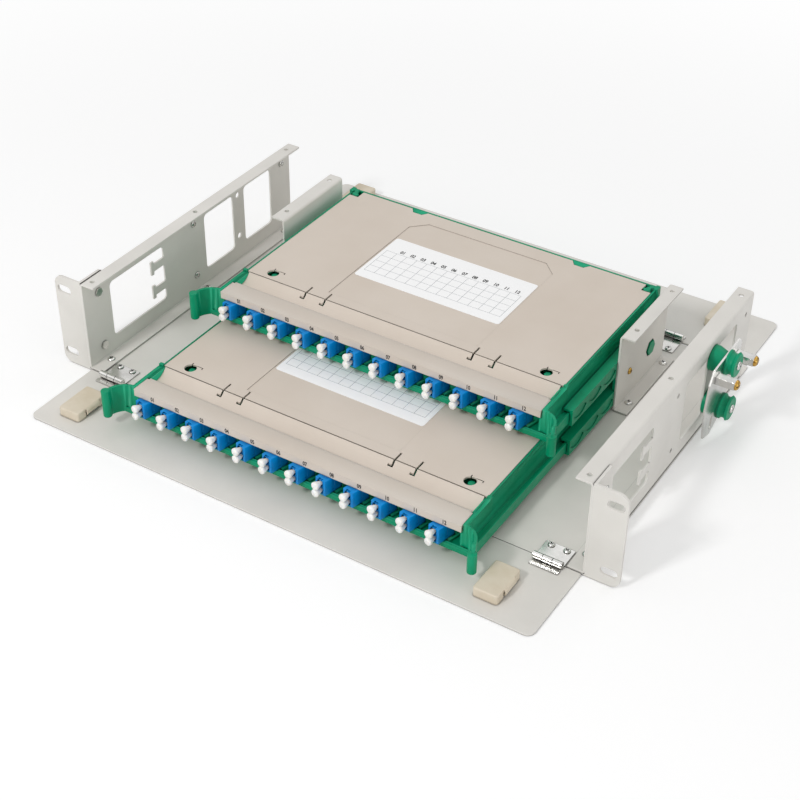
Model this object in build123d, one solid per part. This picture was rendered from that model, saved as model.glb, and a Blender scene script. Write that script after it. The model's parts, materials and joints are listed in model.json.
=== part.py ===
"""Rack-mounted fibre distribution panel: open steel chassis, two fold-down doors and two drawer trays.

Frame: X runs to the right, Y to the back and Z up, in millimetres. The origin is the middle of the rack
slots, on the front of the ears. Shapes are drawn with Z = 0 on the underside of the base plate and moved
down by half the height when they are written. The model stands as photographed: both doors lie flat, the
upper tray is home and the lower tray is pulled out.
"""
from build123d import *
from math import cos, radians, sin
import os

# Chassis
BODY_WIDTH = 431.2
SIDE_FACE = BODY_WIDTH / 2
SIDE_HEIGHT = 80.0
SIDE_DEPTH = 268.0
BASE_DEPTH = 283.0
SHEET = 1.5
BEND = 2.5
TOP_FLANGE = 13.0
FOOT_SCREW_INSET = 7.0
FLANGE_HOLE_Y = (7.0, 132.0, 258.0)
FOOT_SCREW_Y = (17.0, 140.0, 250.0)
SCREW_R = 2.0
HOLE_PLAY = 0.2

# Side windows, as front, back, bottom and top
WINDOWS = ((30.0, 95.0, 16.0, 65.0), (148.0, 187.0, 16.0, 67.0), (202.0, 240.0, 16.0, 68.0))
WINDOW_CORNER = 4.0
HOOK_ROOTS = (29.0, 51.0)
HOOK_ROOT_HEIGHT = 6.8
HOOK_HEAD_HEIGHT = 12.0
HOOK_REACH = 16.0
HOOK_HEAD = 3.2
STRIP_HOLES = ((194.0, 25.0), (194.0, 64.0))
STRIP_HOLE_R = 2.6
SIDE_NUTS = ((134.0, 17.0), (134.0, 66.0), (256.0, 16.0), (256.0, 66.0))
NUT_R = 3.1
NUT_HEIGHT = 1.6
RAIL_HEAD_R = 2.7
LEAF_HEAD_R = 2.6

# Rack ears
EAR_REACH = 25.7
RACK_WIDTH = BODY_WIDTH + 2 * EAR_REACH
EAR_SHEET = 2.0
EAR_LEG = 26.0
EAR_CORNER = 8.0
SLOT_INSET = 8.75
SLOT_SPACING_Z = 57.15
SLOT_WIDTH = 7.0
SLOT_LENGTH = 13.0
EAR_SCREW_Y = 17.0
EAR_SCREW_Z = (15.0, 64.0)

# Inner brackets that carry the rails
CABLE_WAY = 64.3
BRACKET_FACE = SIDE_FACE - CABLE_WAY
BRACKET_HEIGHT = 70.0
BRACKET_FLANGE = 12.0
BRACKET_Y = (173.0, 258.0)
BRACKET_HOLE_Y = (187.0, 249.0)
HEX_HOLE_Y = 231.0
HEX_HOLE_R = 7.5
HOOK_PLAY = 1.2
RAIL_SCREW_Y = 194.0

# Rails
RAIL_WIDTH = 7.6
RAIL_HEIGHT = 13.5
RAIL_WALL = 2.2
RAIL_Y = (101.0, 256.0)
RAIL_POCKET = 0.8
RAIL_POCKETS = 3

# Doors, with the values of the front and of the rear one
DOOR_GAPS = {"front": 0.6, "rear": 3.0}
DOOR_REACH = 70.6
DOOR_WIDTH = BODY_WIDTH - 3.8
DOOR_CORNER = 6.0
HINGE_INSETS = {"front": 25.6, "rear": 68.6}
HINGE_WIDTH = 22.0
HINGE_OFFSET = 4.0
HINGE_HEIGHT = 5.0
HINGE_PIN_R = 1.5
HINGE_BARREL_R = 2.6
HINGE_PLAY = 0.06
KNUCKLE_GAP = 0.4
LEAF = 1.0
LEAF_SCREW_R = 1.6
LEAF_DEPTH = 16.0
LATCH_INSETS = {"left": 29.6, "right": 43.6}
LATCH_SIZE = (19.0, 32.0, 7.6)
LATCH_FROM_BASE = {"front": 26.0, "rear": 35.0}
LATCH_WALL = 1.4
LATCH_CURL_R = 3.0
LATCH_CURL_WIDTH = 14.0

# Trays
TRAY_PITCH = 27.0
LOWER_TRAY_BOTTOM = 10.0
TRAY_HEIGHT = 23.5
UPPER_TRAY_FRONT = 72.5
TRAY_TRAVEL = 107.0
TRAY_DEPTH = 190.5
TRAY_SIDE = 10.1
TRAY_HALF = BRACKET_FACE - TRAY_SIDE
TRAY_WALL = 1.6
FLOOR = 1.8
RUNNER_PLAY = 0.3
RUNNER_DROP = 1.0
RUNNER_LIP = 0.9
COVER_SHEET = 1.6
COVER_RIM = 1.7
COVER_HALF = TRAY_HALF - COVER_RIM
LIP_HEIGHT = 6.0
STRIP_DEPTH = 17.0
TROUGH_DEPTH = 17.6
TROUGH_SAG = 5.6
TROUGH_LOW = 5.5
COVER_LINE = 0.5
COVER_PLAY = 0.2
HANDLE_R = 16.0
HANDLE_WALL = 2.0
BEAD_R = 3.4
BEAD_SPANS = {"left": (0.5, 24.0), "right": (0.5, 17.5)}
CHEEK_BAND = 1.8
CHEEK_DEPTH = 36.0
CHEEK_RIB = 1.5
SILL_HEIGHT = 4.2
RECESS_DEPTH = 0.5
RECESS = (-69.5, 63.5, 44.5, 174.0)
RECESS_CHAMFER = 12.0
LABEL_INSET = 1.5
LABEL_Y = (77.7, 141.7)
LABEL_THICKNESS = 0.2
COVER_HOLE = (COVER_HALF - 18.5, 43.5)
COVER_HOLE_R = 4.8
COVER_BOSS_R = 4.2
TONGUE_X = COVER_HALF - 65.0
TONGUE_WIDTH = 18.0
TONGUE_LENGTH = 9.0
TONGUE_SLIT = 0.9
SLIT_REACH = 4.0
SLIT_FOOT = 3.0
REAR_TAB_X = COVER_HALF - 64.5
REAR_TAB = (15.0, 8.0, 5.0)
CLIP = (8.0, 9.2)
CLIP_RISE = 1.2
CORNER_POST = 6.0

# Adapters and dust caps
ADAPTERS = 12
ADAPTER_MARGINS = (8.8, 18.3)
ADAPTER_PITCH = (2 * COVER_HALF - sum(ADAPTER_MARGINS)) / (ADAPTERS - 1)
ADAPTER_ANGLE = 25.0
ADAPTER_SIZE = (9.4, 26.0, 12.9)
ADAPTER_FRONT = 7.5
PORT_PITCH = 6.25
PORT_SIZE = 4.8
PORT_DEPTH = 6.5
CAP_R = 2.9
CAP_LENGTH = 5.0
CAP_STEM = 4.2
PLUG_LENGTH = 3.0

# Fibre guides and splice holder
SPOOL_X = COVER_HALF - 51.5
SPOOL_Y = 112.0
SPOOL_R = 33.0
SPOOL_HEIGHT = 14.0
SPLICES = 12
SPLICE_PITCH = 4.4
SPLICE_R = 1.4
SPLICE_LENGTH = 44.0
SPLICE_Y = (92.0, 132.0)

# Cable clamp on the right side
CLAMP_OFFSET = 10.6
CLAMP_SHEET = 1.5
CLAMP_OUTLINE = ((160.0, 38.0), (163.0, 61.0), (169.0, 71.0), (214.0, 73.0), (219.0, 68.0), (219.0, 54.0),
                 (205.0, 47.0), (200.0, 35.0), (198.0, 18.0), (187.0, 15.0), (176.0, 10.0), (164.0, 13.0))
CLAMP_SLOT = (176.0, 22.0, 14.0, 4.4)
BUSH_R = 9.8
BUSH_WAIST_R = 8.2
BUSH_LENGTH = 8.0
CLAMP_ARM = 16.0
CLAMP_ARM_HEIGHT = 6.0
CLAMP_ARM_DEPTH = 7.0
CLAMP_ARM_Y = (175.0, 210.0)
CLAMP_ARM_Z = 61.0
CLAMP_END_R = 4.0
CLAMP_END_LENGTH = 2.4

DROP = Pos(0, 0, -SIDE_HEIGHT / 2)
FOOT_Z = SHEET
LOWER_TRAY_FRONT = UPPER_TRAY_FRONT - TRAY_TRAVEL
RAIL_BACK = BRACKET_FACE
RAIL_BOTTOM = LOWER_TRAY_BOTTOM - RUNNER_DROP - RUNNER_PLAY - RAIL_WALL


# Shape helpers

def block(x0, x1, y0, y1, z0, z1):
    """Box between two corners."""
    return Pos((x0 + x1) / 2, (y0 + y1) / 2, (z0 + z1) / 2) * Box(x1 - x0, y1 - y0, z1 - z0)


def outline(*points):
    return make_face(Polyline(*points, close=True))


def along_x(sketch, x0, x1):
    """Push a sketch drawn as (Y, Z) from x0 to x1."""
    return Pos(x0, 0, 0) * extrude(Plane.YZ * sketch, x1 - x0)


def along_y(sketch, y0, y1):
    """Push a sketch drawn as (X, Z) from y0 to y1."""
    return Pos(0, y0, 0) * extrude(Plane.XZ * sketch, -(y1 - y0))


def along_z(sketch, z0, z1):
    return Pos(0, 0, z0) * extrude(Plane.XY * sketch, z1 - z0)


def rod_x(x0, x1, y, z, radius):
    return along_x(Pos(y, z) * Circle(radius), x0, x1)


def rod_y(y0, y1, x, z, radius):
    return along_y(Pos(x, z) * Circle(radius), y0, y1)


def rod_z(z0, z1, x, y, radius):
    return along_z(Pos(x, y) * Circle(radius), z0, z1)


def mirrored(shape):
    """The left-hand twin of a right-hand piece."""
    return mirror(shape, about=Plane.YZ)


def both_sides(shape):
    return [shape, mirrored(shape)]


def save(name, shape):
    """Move a piece, or a group of like pieces, into the panel's own frame and write its STEP file."""
    items = shape if isinstance(shape, list) else [shape]
    solids = [DROP * solid for item in items for solid in item.solids()]
    export_step(solids[0] if len(solids) == 1 else Compound(children=solids), f"parts/{name}.step")


# Sheet-metal chassis

def channel(face, flange, z0, z1, inward, sheet=SHEET, bend=BEND):
    """C section with its web at X = face and both flanges turned the same way."""
    way = -1 if inward else 1
    tip = face + way * flange
    web = face + way * sheet
    points = [(tip, z0), (face, z0), (face, z1), (tip, z1), (tip, z1 - sheet), (web, z1 - sheet),
              (web, z0 + sheet), (tip, z0 + sheet)]
    section = outline(*points)
    outer = [v for v in section.vertices() if abs(v.X - face) < 1e-6]
    section = fillet(outer, bend)
    inner = [v for v in section.vertices() if abs(v.X - web) < 1e-6]
    return fillet(inner, bend - sheet)


def window_cutter(window):
    """One side window with its corners rounded."""
    y0, y1, z0, z1 = window
    face = Pos((y0 + y1) / 2, (z0 + z1) / 2) * RectangleRounded(y1 - y0, z1 - z0, WINDOW_CORNER)
    return along_x(face, SIDE_FACE - SHEET - 1, SIDE_FACE + 1)


def fibre_hook(root_z):
    """T-shaped hook that reaches forward into the first window."""
    root = WINDOWS[0][1]
    tip = root - HOOK_REACH
    half_root = HOOK_ROOT_HEIGHT / 2
    half_head = HOOK_HEAD_HEIGHT / 2
    web = (SIDE_FACE - SHEET, SIDE_FACE)
    stem = block(*web, tip, root + 1, root_z - half_root, root_z + half_root)
    head = block(*web, tip, tip + HOOK_HEAD, root_z - half_head, root_z + half_head)
    return stem + head


def side_plate():
    """Right side wall with flanges, cable windows and fixing holes."""
    section = channel(SIDE_FACE, TOP_FLANGE, FOOT_Z, SIDE_HEIGHT, inward=True)
    wall = along_y(section, 0, SIDE_DEPTH)
    for window in WINDOWS:
        wall -= window_cutter(window)
    for root_z in HOOK_ROOTS:
        wall += fibre_hook(root_z)
    for y, z in STRIP_HOLES:
        wall -= rod_x(SIDE_FACE - SHEET - 1, SIDE_FACE + 1, y, z, STRIP_HOLE_R)
    for y in FLANGE_HOLE_Y:
        wall -= rod_z(SIDE_HEIGHT - SHEET - 1, SIDE_HEIGHT + 1, SIDE_FACE - TOP_FLANGE / 2, y, SCREW_R)
    for y in FOOT_SCREW_Y:
        wall -= rod_z(0, FOOT_Z + SHEET + 1, SIDE_FACE - FOOT_SCREW_INSET, y, SCREW_R + HOLE_PLAY)
    for z in EAR_SCREW_Z:
        wall -= rod_x(SIDE_FACE - SHEET - 1, SIDE_FACE + 1, EAR_SCREW_Y, z, SCREW_R + HOLE_PLAY)
    for y, z in SIDE_NUTS:
        wall -= rod_x(SIDE_FACE - SHEET - 1, SIDE_FACE + 1, y, z, SCREW_R)
    return wall


def rack_ear():
    """Right ear: slotted front flange and a leg against the outside of the wall."""
    outer = RACK_WIDTH / 2
    front = block(SIDE_FACE, outer, 0, EAR_SHEET, 0, SIDE_HEIGHT)
    corners = front.edges().filter_by(Axis.Y).group_by(Axis.X)[-1]
    front = fillet(corners, EAR_CORNER)
    leg = block(SIDE_FACE, SIDE_FACE + EAR_SHEET, 0, EAR_LEG, 0, SIDE_HEIGHT)
    tail = leg.edges().filter_by(Axis.X).group_by(Axis.Y)[-1]
    ear = front + fillet(tail, WINDOW_CORNER)
    for side in (-1, 1):
        z = SIDE_HEIGHT / 2 + side * SLOT_SPACING_Z / 2
        slot = Pos(outer - SLOT_INSET, z) * SlotOverall(SLOT_LENGTH, SLOT_WIDTH)
        ear -= along_y(slot, -1, EAR_SHEET + 1)
    for z in EAR_SCREW_Z:
        ear -= rod_x(SIDE_FACE - 1, SIDE_FACE + EAR_SHEET + 1, EAR_SCREW_Y, z, SCREW_R + HOLE_PLAY)
    return ear


def ear_screws():
    """Pan-head screws through the right ear's leg, each with its nut inside the wall."""
    screws = []
    for z in EAR_SCREW_Z:
        outside = SIDE_FACE + EAR_SHEET
        inside = SIDE_FACE - SHEET
        shank = rod_x(inside - NUT_HEIGHT, outside, EAR_SCREW_Y, z, SCREW_R)
        head = rod_x(outside, outside + NUT_HEIGHT, EAR_SCREW_Y, z, NUT_R)
        nut = rod_x(inside - NUT_HEIGHT, inside, EAR_SCREW_Y, z, NUT_R)
        screws.append(shank + head + nut)
    return screws


def side_nuts():
    """Pressed nuts on the inner face of the right wall, for side mounting."""
    inside = SIDE_FACE - SHEET
    nuts = []
    for y, z in SIDE_NUTS:
        nut = rod_x(inside - NUT_HEIGHT, inside, y, z, NUT_R)
        nuts.append(nut - rod_x(inside - NUT_HEIGHT - 1, inside + 1, y, z, SCREW_R))
    return nuts


def pan_screw(x, y, seat, depth, radius=SCREW_R, head_r=NUT_R):
    """Upright pan-head screw whose head rests on seat."""
    head = rod_z(seat, seat + NUT_HEIGHT, x, y, head_r)
    return head + rod_z(seat - depth, seat + 0.1, x, y, radius)


def foot_screws():
    x = SIDE_FACE - FOOT_SCREW_INSET
    seat = FOOT_Z + SHEET
    return [pan_screw(side * x, y, seat, seat - 0.1) for side in (-1, 1) for y in FOOT_SCREW_Y]


def bracket_screws():
    x = bracket_hole_x()
    seat = FOOT_Z + SHEET
    return [pan_screw(side * x, y, seat, seat - 0.1) for side in (-1, 1) for y in BRACKET_HOLE_Y]


def bracket_hole_x():
    return BRACKET_FACE + BRACKET_FLANGE / 2 + SHEET / 2


def base_plate():
    """Flat floor of the chassis between the two door hinges."""
    plate = block(-SIDE_FACE, SIDE_FACE, 0, BASE_DEPTH, 0, SHEET)
    clear = SCREW_R + HOLE_PLAY
    for side in (-1, 1):
        for y in FOOT_SCREW_Y:
            plate -= rod_z(-1, SHEET + 1, side * (SIDE_FACE - FOOT_SCREW_INSET), y, clear)
        for y in BRACKET_HOLE_Y:
            plate -= rod_z(-1, SHEET + 1, side * bracket_hole_x(), y, clear)
        for x, y in leaf_screws("front", side):
            plate -= rod_z(-1, SHEET + 1, x, y, LEAF_SCREW_R + HOLE_PLAY)
        for x, y in leaf_screws("rear", side):
            plate -= rod_z(-1, SHEET + 1, x, BASE_DEPTH - y, LEAF_SCREW_R + HOLE_PLAY)
    return plate


def inner_bracket():
    """Right C bracket that stands on the floor and carries the rail."""
    section = channel(BRACKET_FACE, BRACKET_FLANGE, FOOT_Z, BRACKET_HEIGHT, inward=False)
    bracket = along_y(section, *BRACKET_Y)
    clear = SCREW_R + HOLE_PLAY
    for y in BRACKET_HOLE_Y:
        bracket -= rod_z(BRACKET_HEIGHT - SHEET - 1, BRACKET_HEIGHT + 1, bracket_hole_x(), y, SCREW_R)
        bracket -= rod_z(0, FOOT_Z + SHEET + 1, bracket_hole_x(), y, clear)
    z = rail_web_z()
    bracket -= rod_x(BRACKET_FACE - 1, BRACKET_FACE + SHEET + 1, RAIL_SCREW_Y, z, clear)
    hexagon = Pos(HEX_HOLE_Y, z) * RegularPolygon(HEX_HOLE_R, 6)
    return bracket - along_x(hexagon, BRACKET_FACE - 1, BRACKET_FACE + SHEET + 1)


# Rails

def rail_web_z():
    """Middle of the web between the two channels of a rail."""
    return RAIL_BOTTOM + (RAIL_HEIGHT + TRAY_PITCH) / 2


def lens(y, z, length, height):
    """Pointed lens, the outline of a pocket in the rail's outer face."""
    half = length / 2
    rise = height / 2
    top = ThreePointArc((y - half, z), (y, z + rise), (y + half, z))
    bottom = ThreePointArc((y + half, z), (y, z - rise), (y - half, z))
    return make_face(top + bottom)


def rail_channel(level):
    """One C channel that opens towards the tray, with pockets along its outer face."""
    z0 = RAIL_BOTTOM + level * TRAY_PITCH
    z1 = z0 + RAIL_HEIGHT
    body = block(RAIL_BACK - RAIL_WIDTH, RAIL_BACK, *RAIL_Y, z0, z1)
    slot_x = RAIL_BACK - RAIL_WALL
    body -= block(RAIL_BACK - RAIL_WIDTH - 1, slot_x, RAIL_Y[0] - 1, RAIL_Y[1] + 1,
                  z0 + RAIL_WALL, z1 - RAIL_WALL)
    free = BRACKET_Y[0] - RAIL_Y[0]
    length = free / RAIL_POCKETS
    for index in range(RAIL_POCKETS):
        y = RAIL_Y[0] + length * (index + 0.5)
        pocket = lens(y, (z0 + z1) / 2, length - 3, RAIL_HEIGHT - 4)
        body -= along_x(pocket, RAIL_BACK - RAIL_POCKET, RAIL_BACK + 1)
    return body


def rail():
    """Right rail: a channel for each tray, joined by a web against the bracket."""
    web_z = (RAIL_BOTTOM + RAIL_HEIGHT - 0.1, RAIL_BOTTOM + TRAY_PITCH + 0.1)
    web = block(RAIL_BACK - RAIL_WALL, RAIL_BACK, BRACKET_Y[0], RAIL_Y[1], *web_z)
    hook = along_x(Pos(HEX_HOLE_Y, rail_web_z()) * RegularPolygon(HEX_HOLE_R - HOOK_PLAY, 6),
                   RAIL_BACK - 0.1, RAIL_BACK + SHEET + HOOK_PLAY)
    body = rail_channel(0) + rail_channel(1) + web + hook
    return body - rod_x(RAIL_BACK - RAIL_WALL - 1, RAIL_BACK + 1, RAIL_SCREW_Y, rail_web_z(), SCREW_R)


def rail_screw():
    """Brass screw that holds the right rail's web to its bracket."""
    outside = RAIL_BACK + SHEET
    head = rod_x(outside, outside + NUT_HEIGHT, RAIL_SCREW_Y, rail_web_z(), RAIL_HEAD_R)
    shank = rod_x(RAIL_BACK - RAIL_WALL, outside + 0.1, RAIL_SCREW_Y, rail_web_z(), SCREW_R - 0.05)
    return head + shank


# Doors and hinges, drawn at the front and mirrored for the rear

def to_end(place, shape):
    """Leave a piece at the front, or mirror it to the rear."""
    if place == "front":
        return shape
    return Pos(0, BASE_DEPTH, 0) * mirror(shape, about=Plane.XZ)


def hinge_x(place, side):
    return side * (SIDE_FACE - HINGE_INSETS[place])


def leaf_screws(place, side):
    """Places of the two screws of a fixed leaf, counted from its end of the base plate."""
    x = hinge_x(place, side)
    return ((x - 6, 13.0), (x + 6, 13.0))


def knuckle_spans(x):
    """Ends of the hinge's outer knuckles and of its middle one."""
    half = HINGE_WIDTH / 2
    third = HINGE_WIDTH / 6
    outer = ((x - half, x - third - KNUCKLE_GAP / 2), (x + third + KNUCKLE_GAP / 2, x + half))
    middle = ((x - third + KNUCKLE_GAP / 2, x + third - KNUCKLE_GAP / 2),)
    return outer, middle


def knuckle(x0, x1, far):
    """Rolled knuckle and the strip that joins it to a leaf lying towards far."""
    axis_y = -HINGE_OFFSET
    barrel = rod_x(x0, x1, axis_y, HINGE_HEIGHT, HINGE_BARREL_R)
    low = HINGE_HEIGHT - HINGE_BARREL_R
    y0, y1 = sorted((axis_y, far))
    strip = block(x0, x1, y0, y1, SHEET, SHEET + LEAF)
    y0, y1 = sorted((axis_y, axis_y + (1 if far > axis_y else -1)))
    riser = block(x0, x1, y0, y1, SHEET, low + 0.6)
    bore = rod_x(x0 - 1, x1 + 1, axis_y, HINGE_HEIGHT, HINGE_PIN_R + HINGE_PLAY)
    return barrel + strip + riser - bore


def fixed_leaf(place, side):
    """Leaf screwed to the base plate, with the two outer knuckles."""
    x = hinge_x(place, side)
    leaf = block(x - HINGE_WIDTH / 2, x + HINGE_WIDTH / 2, 1.0, LEAF_DEPTH, SHEET, SHEET + LEAF)
    for span in knuckle_spans(x)[0]:
        leaf += knuckle(*span, 2.0)
    for screw_x, screw_y in leaf_screws(place, side):
        leaf -= rod_z(SHEET - 1, SHEET + LEAF + 1, screw_x, screw_y, LEAF_SCREW_R + HOLE_PLAY)
    return leaf


def moving_leaf(place, side):
    """Leaf welded to the door, with the middle knuckle."""
    x = hinge_x(place, side)
    half = HINGE_WIDTH / 2
    back = -HINGE_OFFSET - HINGE_BARREL_R - 0.5
    leaf = block(x - half, x + half, back - 3.5, back, SHEET, SHEET + LEAF)
    return leaf + knuckle(*knuckle_spans(x)[1][0], back - 1)


def hinge_pin(place, side):
    x = hinge_x(place, side)
    half = HINGE_WIDTH / 2
    return rod_x(x - half, x + half, -HINGE_OFFSET, HINGE_HEIGHT, HINGE_PIN_R)


def hinge_screws():
    """Screws of all four fixed leaves."""
    seat = SHEET + LEAF
    screws = []
    for place in DOOR_GAPS:
        for side in (-1, 1):
            for x, y in leaf_screws(place, side):
                screw = pan_screw(x, y, seat, seat - 0.1, LEAF_SCREW_R, LEAF_HEAD_R)
                screws.append(to_end(place, screw))
    return screws


def door(place):
    """Door, lying flat beyond its end of the base plate."""
    half = DOOR_WIDTH / 2
    plate = block(-half, half, -DOOR_REACH, -DOOR_GAPS[place], 0, SHEET)
    corners = plate.edges().filter_by(Axis.Z).group_by(Axis.Y)[0]
    return fillet(corners, DOOR_CORNER)


def latch(place, name, side):
    """Snap catch: a hollow cap on the door with a curled tongue at its right-hand edge."""
    width, depth, height = LATCH_SIZE
    x = side * (SIDE_FACE - LATCH_INSETS[name])
    y1 = -LATCH_FROM_BASE[place]
    y0 = y1 - depth
    body = block(x - width / 2, x + width / 2, y0, y1, SHEET, SHEET + height)
    rounded = body.edges().filter_by(Axis.Z)
    body = fillet(rounded, 2.0)
    body = fillet(body.faces().sort_by(Axis.Z)[-1].edges(), 1.0)
    hollow = block(x - width / 2 + LATCH_WALL, x + width / 2 - LATCH_WALL, y0 + LATCH_WALL,
                   y1 - LATCH_WALL, SHEET, SHEET + height - LATCH_WALL)
    middle = (y0 + y1) / 2
    mouth = (middle - LATCH_CURL_WIDTH / 2, middle + LATCH_CURL_WIDTH / 2)
    opening = block(x + width / 2 - LATCH_WALL - 1, x + width / 2 + 1, mouth[0] - 0.5, mouth[1] + 0.5,
                    SHEET, SHEET + height - LATCH_WALL)
    centre = (x + width / 2 - 1.2, SHEET + height - LATCH_CURL_R)
    ring = Pos(*centre) * (Circle(LATCH_CURL_R) - Circle(LATCH_CURL_R - LATCH_WALL))
    right_half = Pos(centre[0] + LATCH_CURL_R, centre[1]) * Rectangle(2 * LATCH_CURL_R, 2 * LATCH_CURL_R)
    return body - hollow - opening + along_y(ring & right_half, *mouth)


# Trays, drawn with the front lip at Y = 0 and the underside at Z = 0

def placed(shape, level):
    """Move a tray piece to the lower (0) or upper (1) tray's place."""
    front = UPPER_TRAY_FRONT if level else LOWER_TRAY_FRONT
    move = Pos(0, front, LOWER_TRAY_BOTTOM + level * TRAY_PITCH)
    if isinstance(shape, list):
        return [move * item for item in shape]
    return move * shape


def tray_wall_inside():
    return TRAY_HALF - 2.2 * TRAY_WALL


def runner_profile():
    """Right wall of the tray and the runner that slides in the rail."""
    edge = RAIL_BACK - RAIL_WALL - RUNNER_PLAY
    low = -RUNNER_DROP
    lip_top = low + RAIL_HEIGHT - 2 * RAIL_WALL - 2 * RUNNER_PLAY
    top = lip_top - RUNNER_LIP
    throat = RAIL_BACK - RAIL_WIDTH - 0.5
    ledge = TRAY_HEIGHT - COVER_SHEET
    rim = COVER_HALF + COVER_PLAY
    wall_in = tray_wall_inside()
    scoop = ThreePointArc((TRAY_HALF, TRAY_HEIGHT), (TRAY_HALF + 0.5, top + 7), (throat, top))
    lip = Polyline((throat, top), (edge - 1.4, top), (edge - 1.4, lip_top), (edge, lip_top),
                   (edge, low), (throat - 1, low), (throat - 1, 0), (wall_in, 0), (wall_in, ledge),
                   (rim, ledge), (rim, TRAY_HEIGHT), (TRAY_HALF, TRAY_HEIGHT))
    return make_face(scoop + lip)


def handle(bead_span):
    """Right front guide: a quarter-round wall that ends in an upright bead, and the band behind it."""
    centre = (COVER_HALF + 0.3, 3.0 - HANDLE_R)
    outer = HANDLE_R + HANDLE_WALL / 2
    inner = HANDLE_R - HANDLE_WALL / 2
    ring = Pos(*centre) * (Circle(outer) - Circle(inner))
    quarter = Pos(centre[0] + outer / 2, centre[1] + outer / 2) * Rectangle(outer, outer)
    wall = along_z(ring & quarter, 0, TRAY_HEIGHT)
    bead = rod_z(*bead_span, centre[0] + HANDLE_R, centre[1], BEAD_R)
    bead = fillet(bead.edges().filter_by(GeomType.CIRCLE), 0.8)
    cheek = block(centre[0] - 2, centre[0] + 1, 2, 6, 0, TRAY_HEIGHT - COVER_SHEET)
    edges = (COVER_HALF + COVER_PLAY, TRAY_HALF + CHEEK_BAND)
    band = block(*edges, 2, CHEEK_DEPTH, TRAY_HEIGHT / 2, TRAY_HEIGHT)
    rib = block(*edges, CHEEK_DEPTH - 2.5, CHEEK_DEPTH, TRAY_HEIGHT / 2, TRAY_HEIGHT + CHEEK_RIB)
    return wall + bead + cheek + band + rib


def adapter_place(index):
    """Middle of an adapter's front face, turned as the adapters are."""
    x = ADAPTER_MARGINS[0] - COVER_HALF + index * ADAPTER_PITCH
    return Pos(x, -ADAPTER_FRONT, SILL_HEIGHT + 0.2) * Rot(0, 0, -ADAPTER_ANGLE)


def adapter_seat(index):
    """Pad and two cheeks that hold one adapter."""
    width, length, _ = ADAPTER_SIZE
    pad = block(-width / 2 - 1.4, width / 2 + 1.4, 8, length - 1, -SILL_HEIGHT, 0)
    cheeks = [block(side * (width / 2 + 0.75) - 0.6, side * (width / 2 + 0.75) + 0.6, 8, length - 1,
                    -1, 9) for side in (-1, 1)]
    return adapter_place(index) * (pad + cheeks[0] + cheeks[1])


def spool(side):
    """Round fibre guide with four retaining tabs."""
    x = side * SPOOL_X
    ring = Pos(x, SPOOL_Y) * (Circle(SPOOL_R) - Circle(SPOOL_R - 1.8))
    body = along_z(ring, FLOOR - 0.1, FLOOR + SPOOL_HEIGHT)
    for quarter in range(4):
        angle = radians(45 + 90 * quarter)
        tab = Pos(x + (SPOOL_R + 3) * cos(angle), SPOOL_Y + (SPOOL_R + 3) * sin(angle),
                  FLOOR + SPOOL_HEIGHT - 0.8) * Rot(0, 0, 45 + 90 * quarter) * Box(10, 8, 1.6)
        body += tab
    return body


def rear_tab(x):
    """Tapered tab on the rear rim that keeps the cover down."""
    wide, narrow, reach = REAR_TAB
    y = TRAY_DEPTH - TRAY_WALL
    face = outline((x - wide / 2, y), (x + wide / 2, y), (x + narrow / 2, y - reach),
                   (x - narrow / 2, y - reach))
    return face


def corner_clip():
    """Right rear corner: a raised post and the stepped clip that hooks over the cover."""
    width, depth = CLIP
    x = COVER_HALF + COVER_PLAY
    y = TRAY_DEPTH - TRAY_WALL
    top = TRAY_HEIGHT + CLIP_RISE
    hook = outline((x + 0.1, y + 0.1), (x - width / 2, y + 0.1), (x - width / 2, y - 2.6),
                   (x - width + 2.2, y - depth + 2.8), (x - width, y - depth + 1.8), (x - width + 2, y - depth),
                   (x - 1.4, y - depth + 1.6), (x - 2.4, y - depth / 2), (x + 0.1, y - 2.6))
    clip = along_z(hook, TRAY_HEIGHT - COVER_SHEET - 2, top)
    return clip + block(x, TRAY_HALF + CHEEK_BAND, TRAY_DEPTH - CORNER_POST, TRAY_DEPTH, TRAY_HEIGHT / 2, top)


def tray_base():
    """Green tray: floor, walls with runners, front guides, adapter seats and fibre guides."""
    side = along_y(runner_profile(), 3.0, TRAY_DEPTH)
    wall_in = tray_wall_inside()
    floor = block(-wall_in - 1, wall_in + 1, 1.0, TRAY_DEPTH, 0, FLOOR)
    sill = block(-TRAY_HALF, TRAY_HALF, 0.4, 2.4, 0, SILL_HEIGHT)
    ledge = TRAY_HEIGHT - COVER_SHEET
    rear = block(-TRAY_HALF, TRAY_HALF, TRAY_DEPTH - TRAY_WALL, TRAY_DEPTH, 0, TRAY_HEIGHT)
    tray = floor + sill + rear + side + mirrored(side)
    tray += handle(BEAD_SPANS["right"]) + mirrored(handle(BEAD_SPANS["left"]))
    tray += corner_clip() + mirrored(corner_clip())
    for index in range(ADAPTERS):
        tray += adapter_seat(index)
    for way in (-1, 1):
        tray += spool(way)
        tray += along_z(rear_tab(way * REAR_TAB_X), ledge, TRAY_HEIGHT)
        x, y = COVER_HOLE
        tray += rod_z(FLOOR - 0.1, ledge - 0.4, way * x, y, COVER_BOSS_R)
    return tray


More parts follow.
